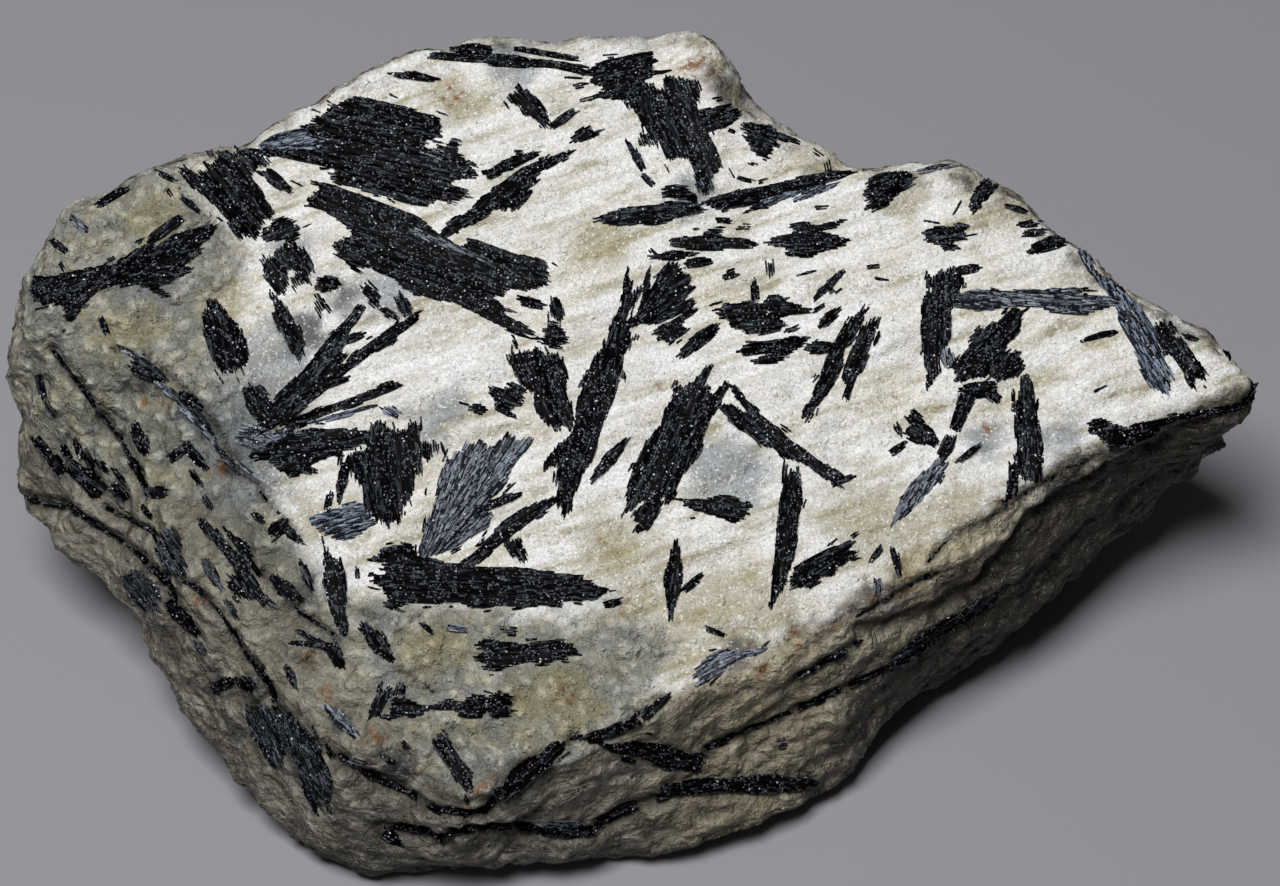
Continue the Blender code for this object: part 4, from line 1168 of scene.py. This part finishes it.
def chipStrokes(dice):
    # splinters that broke off beside the crystals of the top face
    for shapes in topCrystals.values():
        for given in shapes:
            if not isinstance(given, dict) or given["tone"] == "paintedSheen":
                continue
            corners = [Vector(corner) for corner in given["outline"]]
            middle = sum(corners, Vector((0.0, 0.0))) / len(corners)
            for one, two in zip(corners, corners[1:] + corners[:1]):
                count = (two - one).length / chipLook["spacing"]
                for _ in range(int(count + dice.random())):
                    place = one.lerp(two, dice.random())
                    if "focus" in given:
                        heading = math.degrees(math.atan2(*(place - Vector(given["focus"])).yx))
                    else:
                        heading = given["heading"]
                    place += (place - middle).normalized() * abs(dice.gauss(2, chipLook["away"]))
                    turn = math.radians(heading + dice.uniform(-1, 1) * chipLook["swing"])
                    reach = Vector((math.cos(turn), math.sin(turn))) * dice.uniform(*chipLook["length"]) / 2
                    wide = dice.uniform(*chipLook["width"])
                    if dice.random() < chipLook["share"] and seesRock(*(place + reach * 3)):
                        yield (*(place - reach), *(place + reach), wide * 0.5, wide, wide * 0.4)


def seamStrokes(dice):
    for name, width in seamsAndGrooveShade.items():
        corners = cracks[name]["path"]
        for one, two in zip(corners, corners[1:]):
            one, two = Vector(one), Vector(two)
            whole, gone = (two - one).length, 0.0
            while gone < whole:
                piece = dice.uniform(*seamPiece)
                wide = width * dice.uniform(0.25, 1.0)
                yield (*one.lerp(two, gone / whole), *one.lerp(two, min(1.1, (gone + piece) / whole)),
                       wide * 0.4, wide, wide * 0.3)
                gone += piece * dice.uniform(0.7, 1.3)


# Bearing from the centre in degrees, height, length and width in mm, on the hidden sides
hiddenLenses = {"bearings": (28, 158), "heights": (7, 30), "lengths": (1.5, 7), "slimness": (0.22, 0.5),
                "count": 46}


def lensesBehind(dice):
    for _ in range(hiddenLenses["count"]):
        length = dice.uniform(*hiddenLenses["lengths"])
        yield (dice.uniform(*hiddenLenses["bearings"]), dice.uniform(*hiddenLenses["heights"]), length,
               length * dice.uniform(*hiddenLenses["slimness"]))


smallStrokes += list(chipStrokes(random.Random(7)))
smallStrokes += list(lensesBehind(random.Random(9)))
smallCrystals, spots = growCrystal("small_crystals", smallStrokes, 300)
crystalSpots += spots
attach(smallCrystals, "root")
print("small crystals", triangleCount(smallCrystals.data), "triangles")
seamAndShadeItem, _ = growCrystal("parting_seams_and_shade", list(seamStrokes(random.Random(8))), 301, lift=-0.6)
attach(seamAndShadeItem, "root")
print("seamsAndGrooveShade", triangleCount(seamAndShadeItem.data), "triangles")


# Rock surface: relief, cracks and colour zones

def crackPoints():
    # points along every crack, on the rock, with the crack's width and depth
    found = []
    for crack in cracks.values():
        for (x1, y1), (x2, y2) in zip(crack["path"], crack["path"][1:]):
            steps = max(2, round(math.hypot(x2 - x1, y2 - y1) / 3))
            for i in range(steps):
                share = i / steps
                place = onRock(x1 + (x2 - x1) * share, y1 + (y2 - y1) * share)[0]
                found.append((place, crack["width"], crack["depth"]))
    return found


def treeOf(points):
    tree = KDTree(len(points))
    for i, point in enumerate(points):
        tree.insert(point, i)
    tree.balance()
    return tree


def insideOf(outline, points):
    # how far each point lies inside an outline of the photograph, in pixels, and its place across it
    eye, forward, upward = [np.array(v) for v in cameraAxes()]
    away = points - eye
    depth = away @ forward
    x = away[:, 0] / depth * focalPixels + cameraSetup["imageWidth"] / 2
    y = cameraSetup["imageHeight"] / 2 - (away @ upward) / depth * focalPixels
    nearest = np.full(len(points), 1e9)
    inside = np.zeros(len(points), bool)
    for (x1, y1), (x2, y2) in zip(outline, outline[1:] + outline[:1]):
        dx, dy = x2 - x1, y2 - y1
        share = np.clip(((x - x1) * dx + (y - y1) * dy) / (dx * dx + dy * dy), 0, 1)
        nearest = np.minimum(nearest, np.hypot(x - x1 - share * dx, y - y1 - share * dy))
        if y1 != y2:
            inside ^= ((y1 > y) != (y2 > y)) & (x < (y - y1) * dx / dy + x1)
    return np.where(inside, nearest, -nearest), x


def layerProfile(height):
    # a slow rise through a layer, then a quick fall at its edge
    share = height % 1.0
    return share / 0.78 if share < 0.78 else (1 - share) / 0.22


def rockRelief(point, steep, off, upward):
    # height of the broken surface in mm: grain lumps, foliation ridges, and layers in the steep sides
    rise = math.radians(rockLook["ridgeRise"])
    sway = noise.noise(point / rockLook["swaySize"]) * rockLook["swayReach"]
    across = math.cos(rise) * point.y - math.sin(rise) * point.x
    ridge = math.sin((across + sway) * math.tau / rockLook["ridgePitch"]) * rockLook["ridgeHeight"] * upward
    ridge *= 0.5 + noise.noise(point / rockLook["ridgeFade"] + Vector((4, 1, 7)))
    lump = noise.fractal(point / rockLook["lumpSize"], 0.9, 2.1, 2) * rockLook["lumpHeight"]
    pit = noise.noise(point / rockLook["pitSize"] + Vector((2, 5, 3))) * rockLook["pitHeight"]
    wander = noise.noise(point / rockLook["wanderSize"] + Vector((1, 2, 8))) * rockLook["wanderReach"]
    wander += noise.noise(point / rockLook["kinkSize"]) * rockLook["kinkReach"]
    layer = layerProfile((point.dot(topNormal) + wander) / rockLook["layerPitch"]) - 0.5
    cobble = 0.5 - noise.voronoi((point + Vector((wander, 0, 0))) / rockLook["cobbleSize"])[0][0]
    return (ridge + lump + pit + layer * rockLook["layerDepth"] * steep
            + cobble * rockLook["cobbleHeight"] * off)


# Where one kind of surface passes into the next. Pixels are of the photograph, counted inwards.
passing = {
    "blurs": ((2.6, 0.55), (0.9, 0.35)),     # mm across, and their share of the unevenness
    "steep": (0.35, 0.8),         # how squarely a face looks the way of the broken top
    "edge": (-14, 16),            # pixels over which the top's edge breaks away
    "edgeBlur": 26,
    "cutReach": 1.35,             # of a crack's own width
    "covered": (0.2, 0.7),        # mm from a crystal
    "calm": 0.8,                  # of the relief that is lost beside a crystal
    "zone": (0.35, 1.15),         # of a colour zone's radius
    "zoneReach": 1.9,
    "right": (760, 900),          # pixels across, where the sides turn dark
    "rim": (600, 720),            # pixels across, where the tan band starts
    "acrossBlur": 60,
    "behind": (-0.2, 0.2),
    # heights over which painted shade darkens the base
    "lowFoot": (0.5, 4.0),        # mm above the floor
    "highFoot": (1.0, 19.0),
    "footBlurs": (3, 7),
    "bandNarrows": (940, 1100),   # pixels across
    "bandWidths": (60, 8),
    "bandEdge": 34,
    "bandBlur": 30,
    "bandTop": (2, 24),
    "greyAndShade": (-16, 22),
    "greyBlur": 34,
    "fewerGrains": 0.75,          # of the loose grains that the steep sides lack
    "grainFoot": 1.0,             # mm above the floor that stay free of grains
}


def blend(key, value):
    return smoothStep(*passing[key], value)


def finishRock(item):
    mesh = item.data
    count = len(mesh.vertices)
    crackList = crackPoints()
    crackTree = treeOf([c[0] for c in crackList])
    coverTree = treeOf(crystalSpots)
    zoneSpots = {name: [(onRock(x, y)[0], r * pixelSize) for x, y, r in spots]
                 for name, spots in zones.items()}
    painted = {name: np.zeros(count, np.float32)
               for name in ("crack", "sugar", "grimeAndSideShade", "umberAndPaintedShade", "greyAndShade", "steep", "band", *zones)}
    points = np.array([v.co for v in mesh.vertices])
    depths, acrossPhoto = insideOf(topFace, points)
    greyDepths = insideOf(greyAndShadedPart, points)[0]
    places = np.empty(count * 3, np.float32)
    wideBand, narrowBand = passing["bandWidths"]
    lowBlur, highBlur = passing["footBlurs"]
    broad, fine = passing["blurs"]
    for i, vertex in enumerate(mesh.vertices):
        point, normal = vertex.co, vertex.normal
        upward = max(0.0, normal.dot(topNormal))
        steep = 1.0 - blend("steep", upward)
        blur = noise.noise(point / broad[0]) * broad[1] + noise.noise(point / fine[0]) * fine[1]
        off = 1.0 - blend("edge", depths[i] + blur * passing["edgeBlur"])
        height = rockRelief(point, steep, off, upward)
        _, near, gap = crackTree.find(point)
        _, width, depth = crackList[near]
        cut = clamp(passing["cutReach"] - passing["cutReach"] * gap / width)
        height -= cut * depth
        covered = 1.0 - blend("covered", coverTree.find(point)[2])
        height *= 1.0 - passing["calm"] * covered
        if point.z < rockLook["soleBand"]:
            height = 0.0
        for name, spots in zoneSpots.items():
            strongest = 0.0
            for centre, radius in spots:
                reach = (point - centre).length / radius
                if reach < passing["zoneReach"]:
                    strongest = max(strongest, 1.0 - blend("zone", reach + blur))
            painted[name][i] = strongest
        across = acrossPhoto[i] + blur * passing["acrossBlur"]
        rightward = blend("right", across)
        backward = blend("behind", normal.y)
        # painted shade: darker towards the floor, where the base turns under
        baseShade = (1.0 - blend("lowFoot", point.z + blur * lowBlur)) * 0.5
        baseShade += (1.0 - blend("highFoot", point.z + blur * highBlur)) * 0.5
        inward = depths[i] + blur * passing["bandBlur"]
        band = wideBand - (wideBand - narrowBand) * blend("bandNarrows", acrossPhoto[i])
        beyondRim = 1.0 - smoothStep(-band, passing["bandEdge"] - band, inward)
        greyness = blend("greyAndShade", greyDepths[i] + blur * passing["greyBlur"])
        # shoulder and steep sides darker: partly grime, partly painted shade of sides turned away from the
        # top
        painted["grimeAndSideShade"][i] = max(off, steep) * max(1 - rightward, backward)
        # right sides near black: partly their own dark colour, partly painted shade of the undercut and of
        # the base
        painted["umberAndPaintedShade"][i] = max(beyondRim * rightward * (1 - backward), baseShade)
        painted["steep"][i] = steep
        painted["band"][i] = blend("rim", across) * (1 - backward) * (1.0 - blend("bandTop", inward))
        painted["greyAndShade"][i] = greyness * (1 - backward * steep)
        painted["crack"][i] = cut
        grainy = 1 - passing["fewerGrains"] * max(off, steep)
        painted["sugar"][i] = (1 - covered) * grainy * (point.z > passing["grainFoot"])
        places[3 * i:3 * i + 3] = point + normal * height
    mesh.vertices.foreach_set("co", places * mm)
    for name, values in painted.items():
        mesh.attributes.new(name, "FLOAT", "POINT").data.foreach_set("value", values)
    mesh.shade_smooth()
    mesh.update()


# How broken rock takes the light: strength and depth, in mm, of its grain, then gloss
albiteSurface = {"bump": 0.9, "relief": 0.42, "roughness": 0.5, "ior": 1.53, "gloss": 0.35}


def albiteMaterial(name, grain):
    # Sugary albite rock: white to cream grains, grey where clear quartz shows, olive and rust stains
    material, tree, place = newMaterial(name)
    masks = {key: attribute(tree, key) for key in ("crack", "grimeAndSideShade", "umberAndPaintedShade", "greyAndShade", "steep", "band",
                                                   "quartz", "olive", "smoke", "rust")}

    def stain(base, mask, tint, strength):
        tint = linearColour(tint) if isinstance(tint, str) else tint
        return mixed(tree, maths(tree, "MULTIPLY", mask, strength), base, tint)

    # streaks of the foliation, about 9 mm long and 1.3 mm apart, rising to the right
    ridges = (0, 0, math.radians(rockLook["ridgeRise"]))
    streak = drawnOutNoise(tree, place, ridges, (9, 1.3, 1.3), 3.0)
    body = ramp(tree, streak, (0.3, "#A8A18A"), (0.43, "#D1CEC4"), (0.6, "#E8E8E7"))
    # parts 9 mm across are warmer than the rest
    warm = rescaled(tree, noiseOf(tree, place, 9, 2.0).outputs[0], 0.5, 0.7, 0.0, 0.25)
    body = stain(body, warm, "#C9BB95", 1.0)
    # layers of the sides, seen edge on, 1.4 mm apart and parallel to the broken top
    layer = drawnOutNoise(tree, place, (topTilt, 0, 0), (8, 8, 1.4), 4.0)
    dull = ramp(tree, layer, (0.34, "#3C3930"), (0.48, "#6F6A5B"), (0.66, "#979281"))
    dark = ramp(tree, layer, (0.36, "#0A0907"), (0.5, "#1A1712"), (0.68, "#3E382C"))
    tan = ramp(tree, layer, (0.38, "#4A4233"), (0.5, "#A09378"), (0.62, "#C9BEA4"))
    # 2.4 mm mottles of clean grey-white rock and of yellow-brown dirt over the layers
    mottle = noiseOf(tree, place, 2.4, 5.0, 0.62)
    marble = ramp(tree, mottle.outputs[0], (0.36, "#666A64"), (0.5, "#888A80"), (0.64, "#A1987A"))
    pale = rescaled(tree, mottle.outputs[0], 0.52, 0.62, 0.0, 0.75)
    dirt = rescaled(tree, mottle.outputs[0], 0.45, 0.36, 0.0, 0.6)
    dull = stain(dull, pale, "#A8A493", 0.85)
    dull = stain(dull, dirt, "#5A4F34", 1.0)
    # dull colour on the shoulder and steep sides: partly grime, partly painted shade
    colour = stain(body, masks["grimeAndSideShade"], dull, 0.92)
    # greyer part: partly its marble-like colour, partly painted shade where the light falls off to the left
    # and front
    colour = stain(colour, masks["greyAndShade"], marble, 0.8)
    colour = stain(colour, masks["quartz"], "#6F7880", 0.66)
    colour = stain(colour, masks["olive"], "#9A8F68", 0.6)
    colour = stain(colour, masks["smoke"], "#2F3337", 0.8)
    colour = stain(colour, masks["band"], tan, 0.8)
    # right sides and base near black: partly their own dark colour, partly painted shade of the undercut and
    # the base
    colour = stain(colour, masks["umberAndPaintedShade"], dark, 0.94)
    # thin dark lines where one layer ends on the next, in the steep sides alone
    sides = maths(tree, "MAXIMUM", masks["umberAndPaintedShade"], masks["grimeAndSideShade"])
    folds = maths(tree, "PINGPONG", maths(tree, "MULTIPLY", layer, 5.0), 0.5)
    thin = rescaled(tree, folds, 0.0, 0.08, 0.8, 0.0)
    layered = maths(tree, "MAXIMUM", sides, masks["band"])
    edgeOn = maths(tree, "MULTIPLY", layered, rescaled(tree, masks["steep"], 0.45, 0.95))
    lines = maths(tree, "MULTIPLY", thin, edgeOn)
    colour = stain(colour, lines, "#1A1610", 0.85)
    # rust in specks under a millimetre across
    rusty = rescaled(tree, noiseOf(tree, place, 0.9, 3.0).outputs[0], 0.47, 0.6, 0.0, 0.85)
    colour = stain(colour, maths(tree, "MULTIPLY", rusty, masks["rust"]), "#80531F", 1.0)
    # painted shade in the cracks: dark colour along each groove
    colour = stain(colour, masks["crack"], "#221E18", 0.85)
    # uneven rounded lumps, 1.3 mm across, on the shoulder and sides: painted shade between them, painted
    # highlight on their tops
    bent = addNode(tree, "ShaderNodeVectorMath",
                   {0: mottle.outputs[1], 1: (2 * mm, 2 * mm, 2 * mm), 2: place}, operation="MULTIPLY_ADD")
    lumps = addNode(tree, "ShaderNodeTexVoronoi",
                    {"Vector": bent.outputs[0], "Scale": 1 / (1.3 * mm), "Smoothness": 0.35},
                    feature="SMOOTH_F1").outputs["Distance"]
    stainedAndShaded = maths(tree, "MAXIMUM", maths(tree, "MAXIMUM", sides, masks["greyAndShade"]), masks["band"])
    shadeInHollows = maths(tree, "MULTIPLY", rescaled(tree, lumps, 0.3, 0.62, 0.0, 0.4), stainedAndShaded)
    colour = stain(colour, shadeInHollows, "#3D3A2C", 0.8)
    highlightOnTops = maths(tree, "MULTIPLY", rescaled(tree, lumps, 0.38, 0.1, 0.0, 0.5), masks["greyAndShade"])
    colour = stain(colour, highlightOnTops, "#CBC9BC", 1.0)
    # single grains, each a little lighter or darker than the next, and one in fourteen a glint
    grains = grainShares(tree, place, grain)
    colour = mixed(tree, 1.0, colour, rescaled(tree, grains[0], 0.0, 1.0, 0.78, 1.14), "MULTIPLY")
    glint = maths(tree, "GREATER_THAN", grains[1], 0.93)
    dimming = maths(tree, "MULTIPLY_ADD", masks["crack"], 0.6, stainedAndShaded)
    clean = rescaled(tree, dimming, 0.0, 1.0, 0.5, 0.08)
    colour = mixed(tree, maths(tree, "MULTIPLY", glint, clean), colour, linearColour("#FFFFFF"))
    # relief: fine grain everywhere, lumps where the rock is stained, ledges of the layers in the sides
    fine = noiseOf(tree, place, 0.9, 5.0, 0.68).outputs[0]
    lumpy = maths(tree, "MULTIPLY_ADD", lumps, -1.1, mottle.outputs[0])
    height = maths(tree, "MULTIPLY_ADD", maths(tree, "MULTIPLY", stainedAndShaded, lumpy), 2.2, fine)
    height = maths(tree, "MULTIPLY_ADD", maths(tree, "MULTIPLY", sides, layer), 2.6, height)
    height = maths(tree, "SUBTRACT", height, lines)
    addSurface(tree, colour, height, albiteSurface)
    return material


finishRock(rockItem)
albite = albiteMaterial("sugaryAlbite", 0.17)
albiteGrain = albiteMaterial("albiteGrain", 0.15)
rockItem.name = "rock"
rockItem.data.materials.clear()
rockItem.data.materials.append(albite)
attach(rockItem, "root")
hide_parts("host_rock")
print("rock", triangleCount(rockItem.data), "triangles")


# Loose-looking grains that give the broken rock its sugary face, in two sizes

grainLook = {
    "fine_grains": {"size": (0.18, 0.36), "perMm2": 3.4, "seed": 41},       # mm
    "coarse_grains": {"size": (0.36, 0.6), "perMm2": 0.9, "seed": 42},
}


def grainTree(material):
    tree, entry = newTree("sugarGrains", ("Smallest", "Largest", "Grains per m2"))
    points = scatter(tree, entry, "Grains per m2", "sugar")
    size = randomBetween(tree, entry, entry["Smallest"], entry["Largest"])
    swing = randomBetween(tree, entry, (-0.45, -0.45, 0.0), (0.45, 0.45, math.tau))
    turned = turnedFurther(tree, points["Rotation"], swing)
    # a low block with a flat top, tilted this way and that, so that its face catches the light
    block = addNode(tree, "GeometryNodeMeshCone",
                    {"Vertices": 4, "Radius Top": 0.4, "Radius Bottom": 0.66, "Depth": 0.4})
    centred = addNode(tree, "GeometryNodeTransform",
                      {"Geometry": block.outputs[0], "Translation": (0.0, 0.0, -0.26)})
    endTree(tree, copiesOn(tree, points["Points"], centred.outputs[0], turned, size), material)
    return tree


sugar = grainTree(albiteGrain)
for name, look in grainLook.items():
    grains = addObject(name, rockItem.data.copy())
    runTree(grains, sugar, {
        "Smallest": look["size"][0] * mm, "Largest": look["size"][1] * mm,
        "Grains per m2": look["perMm2"] / mm ** 2, "Seed": look["seed"],
    })
    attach(grains, "root")
    print(name, triangleCount(grains.data), "triangles")


# Floor and light

studio = {
    "floor": "#8E8E93",
    "floorRoughness": 0.9,
    "floorSize": 3.0,                    # m
    "keyPower": 3.75,                    # W
    "keyPlace": (-0.11, -0.13, 0.57),    # m
    "keySize": 0.24,
    "fillPower": 0.10,
    "fillPlace": (-0.40, -0.45, 0.40),
    "fillSize": 0.6,
    "world": "#8C9096",
    "worldStrength": 0.10,
}


def addFloor():
    half = studio["floorSize"] / 2
    shape = bmesh.new()
    bmesh.ops.create_grid(shape, x_segments=2, y_segments=2, size=half / mm)
    material = bpy.data.materials.new("matPaper")
    material.use_nodes = True
    shader = material.node_tree.nodes["Principled BSDF"]
    shader.inputs["Base Color"].default_value = linearColour(studio["floor"])
    shader.inputs["Roughness"].default_value = studio["floorRoughness"]
    objectFrom(shape, "floor", material)


def addLight(name, power, place, size):
    light = bpy.data.lights.new(name, "AREA")
    light.energy = power
    light.size = size
    holder = addObject(name, light)
    holder.location = place
    holder.rotation_euler = (-Vector(place)).to_track_quat("-Z", "Y").to_euler()


def addWorld():
    world = bpy.data.worlds.new("studio")
    world.use_nodes = True
    sky = world.node_tree.nodes["Background"]
    sky.inputs["Color"].default_value = linearColour(studio["world"])
    sky.inputs["Strength"].default_value = studio["worldStrength"]
    bpy.context.scene.world = world


addFloor()
addLight("keyLight", studio["keyPower"], studio["keyPlace"], studio["keySize"])
addLight("fillLight", studio["fillPower"], studio["fillPlace"], studio["fillSize"])
addWorld()
bpy.context.scene.view_settings.view_transform = "Standard"
print("floor and light placed")
